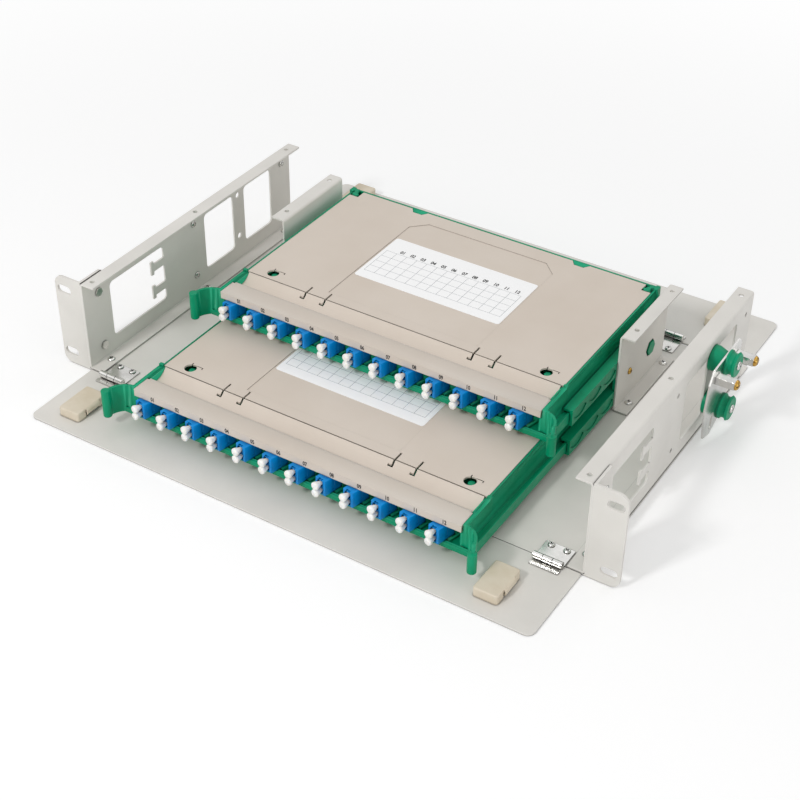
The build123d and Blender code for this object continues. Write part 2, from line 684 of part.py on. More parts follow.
def front_bar():
    """Beige front bar: numbered lip, flat strip and hollow trough."""
    top = TRAY_HEIGHT
    low = top - COVER_SHEET
    y1 = STRIP_DEPTH
    y2 = y1 + TROUGH_DEPTH - COVER_LINE / 2
    bed = y1 + TROUGH_LOW
    under = y1 - COVER_SHEET
    shell = Polyline((under, low), (COVER_SHEET, low), (COVER_SHEET, top - LIP_HEIGHT), (0, top - LIP_HEIGHT),
                     (0, top), (y1, top))
    shell += TangentArc((bed, top - TROUGH_SAG), (y1, top), tangent=(-1, 0))
    shell += TangentArc((bed, top - TROUGH_SAG), (y2, top), tangent=(1, 0))
    shell += Line((y2, top), (y2, low - 0.2))
    shell += TangentArc((bed, low - TROUGH_SAG), (y2, low - 0.2), tangent=(1, 0))
    shell += TangentArc((bed, low - TROUGH_SAG), (under, low), tangent=(-1, 0))
    bar = along_x(make_face(shell), -COVER_HALF, COVER_HALF)
    inner = tray_wall_inside() - COVER_LINE / 2
    for x0, x1 in ((-COVER_HALF - 1, -inner), (inner, COVER_HALF + 1)):
        bar -= block(x0, x1, under, y2 + 1, 0, top + 1)
    for slit in tongue_slits():
        bar -= slit
    edge = [e for e in bar.edges().filter_by(Axis.X) if abs(e.center().Y) < 1e-3 and e.center().Z > top - 0.1]
    return fillet(edge, 0.6)


def tongue_slits():
    """The four slits that free the two hinge tongues, each with a short foot in the trough."""
    y0 = STRIP_DEPTH + TROUGH_DEPTH
    half = TONGUE_SLIT / 2
    foot_y = y0 - SLIT_REACH
    heights = (TRAY_HEIGHT - COVER_SHEET - TROUGH_SAG, TRAY_HEIGHT + 1)
    slits = []
    for side in (-1, 1):
        for edge in (-1, 1):
            x = side * TONGUE_X + edge * TONGUE_WIDTH / 2
            run = block(x - half, x + half, foot_y, y0 + TONGUE_LENGTH, *heights)
            slits.append(run + block(x - SLIT_FOOT, x + half, foot_y, foot_y + TONGUE_SLIT, *heights))
    return slits


def cover_plate():
    """Beige cover with a rounded pivot edge, a shallow recess, two finger holes and notches for the clips."""
    nose = COVER_SHEET / 2
    y0 = STRIP_DEPTH + TROUGH_DEPTH + COVER_LINE / 2 + nose
    y1 = TRAY_DEPTH - TRAY_WALL - 0.3
    top = TRAY_HEIGHT
    low = top - COVER_SHEET
    plate = block(-COVER_HALF, COVER_HALF, y0, y1, low, top)
    plate += rod_x(-COVER_HALF, COVER_HALF, y0, top - nose, nose)
    x0, x1, r0, r1 = RECESS
    cut = RECESS_CHAMFER
    shape = outline((x0, r0), (x1, r0), (x1, r1 - cut), (x1 - cut, r1), (x0 + cut, r1), (x0, r1 - cut))
    plate -= along_z(shape, top - RECESS_DEPTH, top + 1)
    for slit in tongue_slits():
        plate -= slit
    for side in (-1, 1):
        x, y = COVER_HOLE
        plate -= rod_z(low - 1, top + 1, side * x, y, COVER_HOLE_R)
        plate -= along_z(offset(rear_tab(side * REAR_TAB_X), 0.3), low - 1, top + 1)
    width, depth = CLIP
    notch = block(COVER_HALF - width - 0.1, COVER_HALF + 1, TRAY_DEPTH - TRAY_WALL - depth - 0.3,
                  TRAY_DEPTH, low - 1, top + 1)
    return plate - notch - mirrored(notch)


def table_label():
    """Thin label that lies in the cover's recess."""
    z = TRAY_HEIGHT - RECESS_DEPTH
    x0, x1 = RECESS[0] + LABEL_INSET, RECESS[1] - LABEL_INSET
    return block(x0, x1, *LABEL_Y, z, z + LABEL_THICKNESS)


def adapter(index):
    """Duplex adapter: a block with two ports, one above the other, open at both ends."""
    width, length, height = ADAPTER_SIZE
    body = block(-width / 2, width / 2, 0, length, 0, height)
    for port in (-1, 1):
        z = height / 2 + port * PORT_PITCH / 2
        half = PORT_SIZE / 2
        body -= block(-half, half, -1, PORT_DEPTH, z - half, z + half)
        body -= block(-half, half, length - PORT_DEPTH, length + 1, z - half, z + half)
    ridge = block(-width / 2 + 1.5, width / 2 - 1.5, ADAPTER_FRONT + 5, length - 6, height - 0.1, height + 0.4)
    return adapter_place(index) * (body + ridge)


def dust_caps(index):
    """Round caps that close an adapter's front ports, and square plugs in its rear ports."""
    _, length, height = ADAPTER_SIZE
    half = CAP_STEM / 2
    caps = []
    for port in (-1, 1):
        z = height / 2 + port * PORT_PITCH / 2
        stem = block(-half, half, -0.2, PORT_DEPTH - 1, z - half, z + half)
        head = rod_y(-CAP_LENGTH, 0, 0, z, CAP_R)
        head = fillet(head.edges().filter_by(GeomType.CIRCLE).sort_by(Axis.Y)[0], 1.6)
        caps.append(adapter_place(index) * (stem + head))
        plug = block(-half, half, length - PORT_DEPTH + 1, length + PLUG_LENGTH, z - half, z + half)
        caps.append(adapter_place(index) * plug)
    return caps


def splice_holder():
    """Comb that holds the splice sleeves between the two fibre guides."""
    half = SPLICES * SPLICE_PITCH / 2 + 1.5
    y0, y1 = SPLICE_Y
    comb = block(-half, half, y0, y1, FLOOR, FLOOR + 2.0)
    for index in range(SPLICES + 1):
        x = (index - SPLICES / 2) * SPLICE_PITCH
        comb += block(x - 0.6, x + 0.6, y0 + 4, y0 + 12, FLOOR + 1.9, FLOOR + 8)
        comb += block(x - 0.6, x + 0.6, y1 - 12, y1 - 4, FLOOR + 1.9, FLOOR + 8)
    return comb


def splice_sleeves():
    middle = (SPLICE_Y[0] + SPLICE_Y[1]) / 2
    y0, y1 = middle - SPLICE_LENGTH / 2, middle + SPLICE_LENGTH / 2
    z = FLOOR + 2.0 + SPLICE_R
    return [rod_y(y0, y1, (index - SPLICES / 2 + 0.5) * SPLICE_PITCH, z, SPLICE_R)
            for index in range(SPLICES)]


# Cable clamp

def clamp_face():
    return SIDE_FACE + CLAMP_OFFSET


def clamp_plate():
    """Zinc plate that stands off the wall, with a slotted tail and two arms for the cable ties."""
    plate = along_x(outline(*CLAMP_OUTLINE), clamp_face(), clamp_face() + CLAMP_SHEET)
    y, z, length, width = CLAMP_SLOT
    slot = Pos(y, z) * Rot(0, 0, 80) * SlotOverall(length, width)
    plate -= along_x(slot, clamp_face() - 1, clamp_face() + CLAMP_SHEET + 1)
    rise = CLAMP_ARM_HEIGHT / 2
    reach = CLAMP_ARM_DEPTH / 2
    for y in CLAMP_ARM_Y:
        arm = block(clamp_face(), clamp_face() + CLAMP_ARM, y - reach, y + reach,
                    CLAMP_ARM_Z - rise, CLAMP_ARM_Z + rise)
        plate += arm
    for y, z in STRIP_HOLES:
        plate -= rod_x(clamp_face() - 1, clamp_face() + CLAMP_SHEET + 1, y, z, SCREW_R + HOLE_PLAY)
    return plate


def bush_inner(seat):
    """Tapered insulating bush between the wall and the clamp plate."""
    x0, x1 = SIDE_FACE, clamp_face()
    section = outline((x0, 0), (x0, BUSH_R), (x0 + 3, BUSH_R), (x1, BUSH_WAIST_R - 1), (x1, 0))
    return bored_bush(section, x0, x1, seat)


def bush_outer(seat):
    """Waisted insulating bush on the clamp plate's outer face."""
    x0 = clamp_face() + CLAMP_SHEET
    x1 = x0 + BUSH_LENGTH
    side = Polyline((x0, 0), (x0, BUSH_R), (x0 + 1.5, BUSH_R))
    waist = ThreePointArc((x0 + 1.5, BUSH_R), ((x0 + x1) / 2, BUSH_WAIST_R), (x1 - 1.5, BUSH_R))
    end = Polyline((x1 - 1.5, BUSH_R), (x1, BUSH_R - 1), (x1, 0), (x0, 0))
    return bored_bush(make_face(side + waist + end), x0, x1, seat)


def bored_bush(section, x0, x1, seat):
    """Turn a bush's half section round its screw and bore it."""
    body = revolve(section, Axis.X)
    bore = rod_x(x0 - 1, x1 + 1, 0, 0, SCREW_R + HOLE_PLAY)
    return Pos(0, *seat) * (body - bore)


def bush_screw(seat):
    """Screw through both bushes, the plate and the wall."""
    inside = SIDE_FACE - SHEET
    outside = clamp_face() + CLAMP_SHEET + BUSH_LENGTH
    shank = rod_x(inside - NUT_HEIGHT, outside, *seat, SCREW_R)
    head = rod_x(outside, outside + NUT_HEIGHT, *seat, NUT_R)
    nut = rod_x(inside - NUT_HEIGHT, inside, *seat, NUT_R)
    return shank + head + nut


def clamp_end_screws():
    """Brass screws in the ends of the clamp's arms."""
    x = clamp_face() + CLAMP_ARM
    return [rod_x(x, x + CLAMP_END_LENGTH, y, CLAMP_ARM_Z, CLAMP_END_R) for y in CLAMP_ARM_Y]


# Every piece, by node name

def build_chassis():
    save("base_plate", base_plate())
    save("side_plate_right", side_plate())
    save("side_plate_left", mirrored(side_plate()))
    save("rack_ear_right", rack_ear())
    save("rack_ear_left", mirrored(rack_ear()))
    save("ear_screws", [twin for screw in ear_screws() for twin in both_sides(screw)])
    save("side_nuts", [twin for nut in side_nuts() for twin in both_sides(nut)])
    save("foot_screws", foot_screws())
    save("inner_bracket_right", inner_bracket())
    save("inner_bracket_left", mirrored(inner_bracket()))
    save("bracket_screws", bracket_screws())
    save("rail_right", rail())
    save("rail_left", mirrored(rail()))
    save("rail_screws", both_sides(rail_screw()))


def build_clamp():
    save("clamp_plate", clamp_plate())
    save("clamp_screws", clamp_end_screws())
    save("bush_screws", [bush_screw(seat) for seat in STRIP_HOLES])
    for name, seat in zip(("lower", "upper"), STRIP_HOLES):
        save(f"{name}_bush_inner", bush_inner(seat))
        save(f"{name}_bush_outer", bush_outer(seat))


def build_doors():
    for place in DOOR_GAPS:
        save(f"{place}_door", to_end(place, door(place)))
        for name, side in (("left", -1), ("right", 1)):
            save(f"{place}_hinge_leaf_{name}", to_end(place, fixed_leaf(place, side)))
            save(f"{place}_door_leaf_{name}", to_end(place, moving_leaf(place, side)))
            save(f"{place}_hinge_pin_{name}", to_end(place, hinge_pin(place, side)))
            save(f"{place}_latch_{name}", to_end(place, latch(place, name, side)))
    save("hinge_screws", hinge_screws())


def build_tray(name, level):
    caps = [cap for index in range(ADAPTERS) for cap in dust_caps(index)]
    save(f"{name}_tray", placed(tray_base(), level))
    save(f"{name}_front_bar", placed(front_bar(), level))
    save(f"{name}_cover", placed(cover_plate(), level))
    save(f"{name}_label", placed(table_label(), level))
    save(f"{name}_adapters", placed([adapter(index) for index in range(ADAPTERS)], level))
    save(f"{name}_dust_caps", placed(caps, level))
    save(f"{name}_splice_holder", placed(splice_holder(), level))
    save(f"{name}_splice_sleeves", placed(splice_sleeves(), level))


os.makedirs("parts", exist_ok=True)
build_chassis()
build_clamp()
build_doors()
build_tray("lower", 0)
build_tray("upper", 1)
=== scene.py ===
"""Looks of a rack-mounted fibre distribution panel.

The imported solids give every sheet, tray and hinge its shape. This script gives them their finishes, makes
the parts that need finer forms than the solids (screws, adapters, dust caps, printed marks), and sets up
the studio and the camera.
"""
import json
import logging
import math
from dataclasses import dataclass
from enum import Enum

import bmesh
import bpy
from mathutils import Matrix, Vector

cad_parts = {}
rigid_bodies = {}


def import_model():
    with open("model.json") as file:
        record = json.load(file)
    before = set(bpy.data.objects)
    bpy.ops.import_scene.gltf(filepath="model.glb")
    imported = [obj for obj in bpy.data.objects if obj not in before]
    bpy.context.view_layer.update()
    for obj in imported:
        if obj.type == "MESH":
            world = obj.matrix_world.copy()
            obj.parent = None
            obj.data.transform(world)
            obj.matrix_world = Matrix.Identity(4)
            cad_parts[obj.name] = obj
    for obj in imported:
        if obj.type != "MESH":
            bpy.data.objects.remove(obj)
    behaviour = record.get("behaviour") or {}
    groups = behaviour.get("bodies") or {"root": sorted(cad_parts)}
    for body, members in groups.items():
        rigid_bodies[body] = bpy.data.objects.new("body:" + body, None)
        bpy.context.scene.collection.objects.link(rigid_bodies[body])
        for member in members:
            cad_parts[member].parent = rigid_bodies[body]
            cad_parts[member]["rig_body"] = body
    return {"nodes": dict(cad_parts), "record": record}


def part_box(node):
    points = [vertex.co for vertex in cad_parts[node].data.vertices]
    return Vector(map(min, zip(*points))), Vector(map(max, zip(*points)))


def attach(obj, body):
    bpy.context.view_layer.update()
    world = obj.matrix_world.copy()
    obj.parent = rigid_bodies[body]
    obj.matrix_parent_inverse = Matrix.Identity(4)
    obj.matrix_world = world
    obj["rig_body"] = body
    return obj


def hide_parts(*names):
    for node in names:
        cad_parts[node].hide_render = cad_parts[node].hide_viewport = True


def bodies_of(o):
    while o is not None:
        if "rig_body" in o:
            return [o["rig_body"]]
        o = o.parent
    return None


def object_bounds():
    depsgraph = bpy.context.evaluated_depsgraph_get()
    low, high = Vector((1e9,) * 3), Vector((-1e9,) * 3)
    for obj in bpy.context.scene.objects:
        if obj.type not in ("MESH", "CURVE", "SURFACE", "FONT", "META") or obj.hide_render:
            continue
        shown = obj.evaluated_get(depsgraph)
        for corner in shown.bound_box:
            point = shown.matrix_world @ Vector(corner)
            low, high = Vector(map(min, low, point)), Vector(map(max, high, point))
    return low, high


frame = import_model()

CAD_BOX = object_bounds()
MM = 0.001
COUNT = 12  # adapters of a tray
SHARP_DEG = 35  # edges that are sharper than this are shaded as edges
DIGIT_SHARE = 0.7  # height of a digit as a share of the font's size
BOLD_SHARE = 0.05  # how much wider its strokes are drawn, as a share of its height
INK_MM = 0.03  # half the thickness of a printed digit
WHITE_LIGHT = (1.0, 1.0, 1.0, 1.0)
log = logging.getLogger("panel")

Tree = bpy.types.NodeTree
Node = bpy.types.Node
Socket = bpy.types.NodeSocket
Mesh = bpy.types.Mesh
Shape = bmesh.types.BMesh
Corner = tuple[float, float, float]


def linear(colour: str) -> tuple[float, float, float, float]:
    """Turn an sRGB hex colour into the linear values that shaders take.

    Args:
        colour: Six hex digits, such as "c8bfb4".

    Returns:
        Red, green, blue and an alpha of 1.
    """
    values = []
    for start in (0, 2, 4):
        value = int(colour[start:start + 2], 16) / 255
        values.append(value / 12.92 if value <= 0.04045 else ((value + 0.055) / 1.055) ** 2.4)
    return (*values, 1.0)


def wire(tree: Tree, node: Node, links: dict[str, object]) -> None:
    """Link or set the inputs of a node.

    Args:
        tree: The tree that holds the node.
        node: The node.
        links: Inputs by name, with spaces as underscores, or by number as i0, i1 and so on. A socket is
            linked, and anything else is set as the value.
    """
    for name, value in links.items():
        socket = node.inputs[int(name[1:])] if name[1:].isdigit() else node.inputs[name.replace("_", " ")]
        if isinstance(value, Socket):
            tree.links.new(value, socket)
        else:
            socket.default_value = value


def add(tree: Tree, kind: str, settings: dict | None = None, **links: object) -> Node:
    """Add a node to a tree, with its settings, values and links.

    Args:
        tree: The tree that takes the node.
        kind: The node's type name.
        settings: Properties of the node, such as an operation.
        **links: Its inputs, as wire takes them.

    Returns:
        The new node.
    """
    node = tree.nodes.new(kind)
    for name, value in (settings or {}).items():
        setattr(node, name, value)
    wire(tree, node, links)
    return node


def maths(tree: Tree, operation: str, *values: object) -> Socket:
    """Return the outcome of a calculation.

    Args:
        tree: The tree that takes its node.
        operation: The node's operation.
        *values: Up to three numbers or sockets.
    """
    inputs = {f"i{place}": value for place, value in enumerate(values)}
    return add(tree, "ShaderNodeMath", {"operation": operation}, **inputs).outputs[0]


def ramp(tree: Tree, value: Socket, ends: tuple[float, float], low: float, high: float) -> Socket:
    """Return a value that goes from low to high while another one goes from end to end.

    Args:
        tree: The tree that takes its node.
        value: The other value.
        ends: Where the other value starts and ends.
        low: What the start gives.
        high: What the end gives.
    """
    node = add(tree, "ShaderNodeMapRange", Value=value, From_Min=ends[0], From_Max=ends[1], To_Min=low,
               To_Max=high)
    return node.outputs[0]


def new_material(name: str) -> tuple[bpy.types.Material, Tree]:
    """Start a material.

    Args:
        name: The material's name.

    Returns:
        The material and its empty tree.
    """
    material = bpy.data.materials.new(name)
    material.use_nodes = True
    material.node_tree.nodes.clear()
    return material, material.node_tree


# Finishes

NOISE_ENDS = (0.3, 0.7)  # most of a noise's values lie between these
EDGE_HIGHLIGHT_ENDS = (0.995, 0.8)  # likeness of rounded and flat normal where the painted edge highlight begins and where it is full
SEAM_SHADE_ENDS = (0.85, 0.3)  # share of open space round a point where the painted seam shade begins and where it is full


@dataclass
class Surface:
    """A material while it is being made.

    Attributes:
        tree: Its node tree.
        shader: Its main shader.
    """

    tree: Tree
    shader: Node

    def give(self, **values: object) -> None:
        """Set or link inputs of the main shader, by name with spaces as underscores."""
        wire(self.tree, self.shader, values)

    def place(self) -> Socket:
        """Return the coordinates of the piece, in metres."""
        return add(self.tree, "ShaderNodeTexCoord").outputs["Object"]

    def noise(self, size_mm: float, detail: float = 2.0) -> Socket:
        """Return a noise from 0 to 1.

        Args:
            size_mm: Width of one blotch or grain.
            detail: Number of finer layers.
        """
        node = add(self.tree, "ShaderNodeTexNoise", Vector=self.place(), Scale=1 / (size_mm * MM),
                   Detail=detail)
        return node.outputs["Fac"]

    def spread(self, value: Socket, low: float, high: float) -> Socket:
        """Stretch the middle of a noise between two values.

        Args:
            value: The noise.
            low: What its dark parts give.
            high: What its bright parts give.
        """
        return ramp(self.tree, value, NOISE_ENDS, low, high)

    def tint(self, other: str, factor: Socket) -> None:
        """Let the colour so far drift towards another one.

        Args:
            other: The other sRGB colour.
            factor: How far, from 0 to 1.
        """
        colour = self.shader.inputs["Base Color"]
        mix = add(self.tree, "ShaderNodeMix", {"data_type": "RGBA"}, i0=factor, i7=linear(other))
        if colour.is_linked:
            self.tree.links.new(colour.links[0].from_socket, mix.inputs[6])
        else:
            mix.inputs[6].default_value = colour.default_value
        self.tree.links.new(mix.outputs[2], colour)

    def relief(self, height: Socket, depth_mm: float, edge_mm: float) -> None:
        """Give the surface a fine relief and slightly broken edges.

        Args:
            height: The relief, from 0 to 1.
            depth_mm: Its depth.
            edge_mm: Radius of the broken edges.
        """
        edge = add(self.tree, "ShaderNodeBevel", {"samples": 6}, Radius=edge_mm * MM)
        bump = add(self.tree, "ShaderNodeBump", Height=height, Distance=depth_mm * MM, Strength=1.0,
                   Normal=edge.outputs[0])
        self.give(Normal=bump.outputs[0])

    def paint_edge_highlight(self, highlight_colour: str, width_mm: float, most: float) -> None:
        """Paint a highlight on the edges: lighten the colour where the rounded normal turns from the flat
        one.

        Args:
            highlight_colour: The sRGB colour of the painted highlight at an edge.
            width_mm: How far from the edge it reaches.
            most: Share of the highlight colour at the very edge.
        """
        round_off = add(self.tree, "ShaderNodeBevel", {"samples": 6}, Radius=width_mm * MM)
        flat = add(self.tree, "ShaderNodeNewGeometry")
        same = add(self.tree, "ShaderNodeVectorMath", {"operation": "DOT_PRODUCT"}, i0=round_off.outputs[0],
                   i1=flat.outputs["True Normal"])
        self.tint(highlight_colour, ramp(self.tree, same.outputs["Value"], EDGE_HIGHLIGHT_ENDS, 0.0, most))

    def paint_seam_shade(self, seam_shade: str, reach_mm: float, most: float = 0.85) -> None:
        """Paint shade into seams and inner corners: darken the colour where little light comes in.

        Args:
            seam_shade: The sRGB colour of the painted shade at the bottom of a seam.
            reach_mm: How far from the corner it begins.
            most: Share of that colour in the narrowest seams.
        """
        hollow = add(self.tree, "ShaderNodeAmbientOcclusion", {"samples": 8}, Distance=reach_mm * MM)
        self.tint(seam_shade, ramp(self.tree, hollow.outputs["AO"], SEAM_SHADE_ENDS, 0.0, most))


@dataclass(frozen=True)
class Finish:
    """A surface finish that makes its own material.

    Attributes:
        name: What the real surface is.
        slot: The record's material slot.
        colour: Its sRGB colour.
        roughness: Its middle roughness.
    """

    name: str
    slot: str
    colour: str
    roughness: float

    def material(self) -> bpy.types.Material:
        """Return the finish's material, made once."""
        found = bpy.data.materials.get(self.name)
        if found:
            return found
        made, tree = new_material(self.name)
        shader = add(tree, "ShaderNodeBsdfPrincipled", Base_Color=linear(self.colour),
                     Roughness=self.roughness)
        self.dress(Surface(tree, shader))
        add(tree, "ShaderNodeOutputMaterial", Surface=shader.outputs[0])
        return made

    def dress(self, surface: Surface) -> None:
        """Add the finish's own detail to the surface."""


@dataclass(frozen=True)
class PowderCoat(Finish):
    """Sprayed and baked polyester powder, which leaves a soft orange peel and an even satin sheen."""

    peel_mm: float = 1.6
    mottle_mm: float = 45.0
    shade: str = "dbd8d2"

    def dress(self, surface: Surface) -> None:
        """Add the peel, a faint uneven soiling, painted highlights on the edges and painted shade in the
        seams.
        """
        surface.tint(self.shade, surface.spread(surface.noise(self.mottle_mm, 4.0), 0.0, 1.0))
        rough = surface.spread(surface.noise(9.0, 3.0), self.roughness - 0.05, self.roughness + 0.06)
        surface.relief(surface.noise(self.peel_mm, 1.0), 0.02, 0.5)
        # painted highlight on the edges, then painted shade in seams and inner corners
        surface.paint_edge_highlight("f6f4f0", 0.7, 0.75)
        surface.paint_seam_shade("35302a", 2.2)
        surface.give(Roughness=rough, IOR=1.5)


@dataclass(frozen=True)
class ZincPlate(Finish):
    """Bright zinc plating on pressed steel, with soft cloudy patches and drawn lines."""

    cloud_mm: float = 14.0
    line_mm: float = 0.35

    def dress(self, surface: Surface) -> None:
        """Add the clouds, the fine drawn lines and painted shade in the seams."""
        surface.tint("d6d5d2", surface.spread(surface.noise(self.cloud_mm, 3.0), 0.0, 1.0))
        stretch = add(surface.tree, "ShaderNodeMapping", Vector=surface.place(), Scale=(1.0, 12.0, 12.0))
        lines = add(surface.tree, "ShaderNodeTexNoise", Vector=stretch.outputs[0],
                    Scale=1 / (12 * self.line_mm * MM)).outputs["Fac"]
        surface.relief(lines, 0.001, 0.3)
        # painted shade in seams and inner corners
        surface.paint_seam_shade("2c2a27", 1.4, 0.9)
        rough = surface.spread(lines, self.roughness - 0.05, self.roughness + 0.06)
        surface.give(Metallic=1.0, Roughness=rough)


@dataclass(frozen=True)
class TurnedBrass(Finish):
    """Yellow brass from the lathe, bright on the land and darker where it has tarnished."""

    def dress(self, surface: Surface) -> None:
        """Add tarnish, turning marks and painted shade in the seams."""
        surface.tint("a8762e", surface.spread(surface.noise(1.4, 3.0), 0.0, 1.0))
        surface.relief(surface.noise(0.5, 1.0), 0.01, 0.15)
        # painted shade in seams and inner corners
        surface.paint_seam_shade("2a1c08", 1.4, 0.9)
        surface.give(Metallic=1.0)


@dataclass(frozen=True)
class Moulding(Finish):
    """Injection-moulded plastic; the tool's grain and flow lines show in its sheen.

    Attributes:
        shade: The colour that the flow lines drift to.
        grain_mm: Width of the tool's grain, drawn coarser than the real 0.2 mm where it has to show.
        grain_depth_mm: Depth of the grain.
        flow_mm: Width of the flow marks.
        glow: Share of light that passes under the surface.
        edge: Colour of the painted highlight on convex edges, or nothing where the edges get none.
        seam_shade: Colour of the painted shade at the bottom of a seam, or nothing where seams get none.
        seam_shade_mm: How far from a corner the painted shade begins.
        sheen: Strength of the clear reflection, 0.5 for a plain plastic.
    """

    shade: str = "000000"
    grain_mm: float = 0.5
    grain_depth_mm: float = 0.01
    flow_mm: float = 26.0
    glow: float = 0.0
    edge: str = ""
    seam_shade: str = ""
    seam_shade_mm: float = 2.0
    sheen: float = 0.5

    def dress(self, surface: Surface) -> None:
        """Add the flow marks, the grain, painted highlights on the edges, painted shade in the seams and the
        glow.
        """
        surface.tint(self.shade, surface.spread(surface.noise(self.flow_mm, 3.0), 0.0, 1.0))
        rough = surface.spread(surface.noise(6.0, 2.0), self.roughness - 0.04, self.roughness + 0.05)
        surface.relief(surface.noise(self.grain_mm, 1.0), self.grain_depth_mm, 0.3)
        # painted highlight on the edges
        if self.edge:
            surface.paint_edge_highlight(self.edge, 0.4, 0.5)
        # painted shade in seams and inner corners
        if self.seam_shade:
            surface.paint_seam_shade(self.seam_shade, self.seam_shade_mm)
        surface.give(Roughness=rough, IOR=1.53, Specular_IOR_Level=self.sheen)
        if self.glow:
            surface.give(Subsurface_Weight=self.glow, Subsurface_Radius=(1.0, 0.9, 0.8),
                         Subsurface_Scale=0.6 * MM)


@dataclass(frozen=True)
class PrintedFilm(Finish):
    """Polyester film with a printed table: rows and columns of thin grey lines.

    Attributes:
        left_mm: Left end of the table.
        front_mm: Front edge of the table.
        pitch_x_mm: Column width.
        pitch_y_mm: Row height.
        columns: Number of columns.
        rows: Number of rows.
        line_mm: Line width, drawn wider than the real 0.2 mm so that it shows.
    """

    left_mm: float = -55.0
    front_mm: float = 0.0
    pitch_x_mm: float = 9.0
    pitch_y_mm: float = 6.0
    columns: int = 13
    rows: int = 4
    line_mm: float = 0.35

    def lines(self, along: Socket, start: float, pitch: float, count: int, tree: Tree) -> list[Socket]:
        """Return where the table's lines across one direction are, and where the table is.

        Args:
            along: The coordinate, in metres.
            start: Where the first line is, in millimetres.
            pitch: Distance between lines, in millimetres.
            count: Number of spaces.
            tree: The material's tree.
        """
        half_line = self.line_mm / 2 / pitch
        steps = maths(tree, "MULTIPLY_ADD", along, 1 / (pitch * MM), -start / pitch)
        line = maths(tree, "LESS_THAN", maths(tree, "PINGPONG", steps, 0.5), half_line)
        far = maths(tree, "ABSOLUTE", maths(tree, "SUBTRACT", steps, count / 2))
        return [line, maths(tree, "LESS_THAN", far, count / 2 + half_line)]

    def dress(self, surface: Surface) -> None:
        """Print the table."""
        tree = surface.tree
        parts = add(tree, "ShaderNodeSeparateXYZ", Vector=surface.place()).outputs
        across, in_x = self.lines(parts[0], self.left_mm, self.pitch_x_mm, self.columns, tree)
        along, in_y = self.lines(parts[1], self.front_mm, self.pitch_y_mm, self.rows, tree)
        inside = maths(tree, "MULTIPLY", in_x, in_y)
        surface.tint("a2a7aa", maths(tree, "MULTIPLY", maths(tree, "MAXIMUM", across, along), inside))
        surface.give(Coat_Weight=0.15)


@dataclass(frozen=True)
class Ink(Finish):
    """Pad-printed ink, dark and dull."""


@dataclass(frozen=True)
class ShrinkSleeve(Finish):
    """Heat-shrunk clear tube over a steel wire, milky and shiny."""

    def dress(self, surface: Surface) -> None:
        """Let some light through."""
        surface.give(Transmission_Weight=0.35, IOR=1.49)
        surface.relief(surface.noise(2.0, 1.0), 0.03, 0.2)


POWDER = PowderCoat("polyester_powder_coat", "painted_steel", "e4e1db", 0.5)
ZINC = ZincPlate("zinc_plated_steel", "zinc_steel", "f2f1ee", 0.2)
BRASS = TurnedBrass("turned_brass", "brass", "e6c069", 0.22)
# The light edge colour of a moulding is a painted highlight on its convex edges; its dark seam colour is
# painted shade in seams and inner corners.
GREEN = Moulding("green_abs_moulding", "green_plastic", "009a70", 0.38, shade="008a60", grain_mm=0.6,
                 grain_depth_mm=0.012, edge="2fb98c", seam_shade="002a1a", seam_shade_mm=2.6, sheen=0.22)
BEIGE = Moulding("beige_abs_moulding", "beige_plastic", "dacfc3", 0.55, shade="d4c8bb", grain_depth_mm=0.014,
                 flow_mm=60.0, edge="f3ece3", seam_shade="4a3a2c", seam_shade_mm=1.8, sheen=0.4)
BLUE = Moulding("blue_pbt_moulding", "blue_plastic", "0090e0", 0.32, shade="0082cf", grain_mm=0.4,
                grain_depth_mm=0.006, flow_mm=6.0, edge="36b4f2", seam_shade="012a5c", seam_shade_mm=4.5, sheen=0.22)
WHITE = Moulding("white_pe_cap", "white_plastic", "fbfaf8", 0.32, shade="f3f1ed", grain_depth_mm=0.006,
                 flow_mm=5.0, glow=0.4)
CREAM = Moulding("cream_nylon_moulding", "cream_plastic", "ded3c0", 0.42, shade="d4c7b0", flow_mm=12.0,
                 edge="efe7d8", seam_shade="4c4030", seam_shade_mm=2.4)
GREY = Moulding("grey_abs_moulding", "grey_plastic", "8d9092", 0.5, shade="84878a")
SLEEVE = ShrinkSleeve("clear_shrink_sleeve", "clear_sleeve", "dfe2e6", 0.2)
INK = Ink("dark_print_ink", "label_film", "1c1a18", 0.6)


# Shared makers

def shown(name: str, data: bpy.types.ID) -> bpy.types.Object:
    """Put a new object in the scene.

    Args:
        name: The object's name.
        data: Its mesh, text, lamp or camera.
    """
    item = bpy.data.objects.new(name, data)
    bpy.context.scene.collection.objects.link(item)
    return item


def baked(item: bpy.types.Object) -> Mesh:
    """Return an object's mesh as its modifiers leave it, and remove the object.

    Args:
        item: The object.
    """
    graph = bpy.context.evaluated_depsgraph_get()
    mesh = bpy.data.meshes.new_from_object(item.evaluated_get(graph), depsgraph=graph)
    bpy.data.objects.remove(item)
    return mesh


def settled(name: str, shape: Shape) -> Mesh:
    """Turn a shape that is being made, which is used up, into a mesh.

    Args:
        name: The mesh's name.
        shape: The shape.
    """
    mesh = bpy.data.meshes.new(name)
    shape.to_mesh(mesh)
    shape.free()
    return mesh


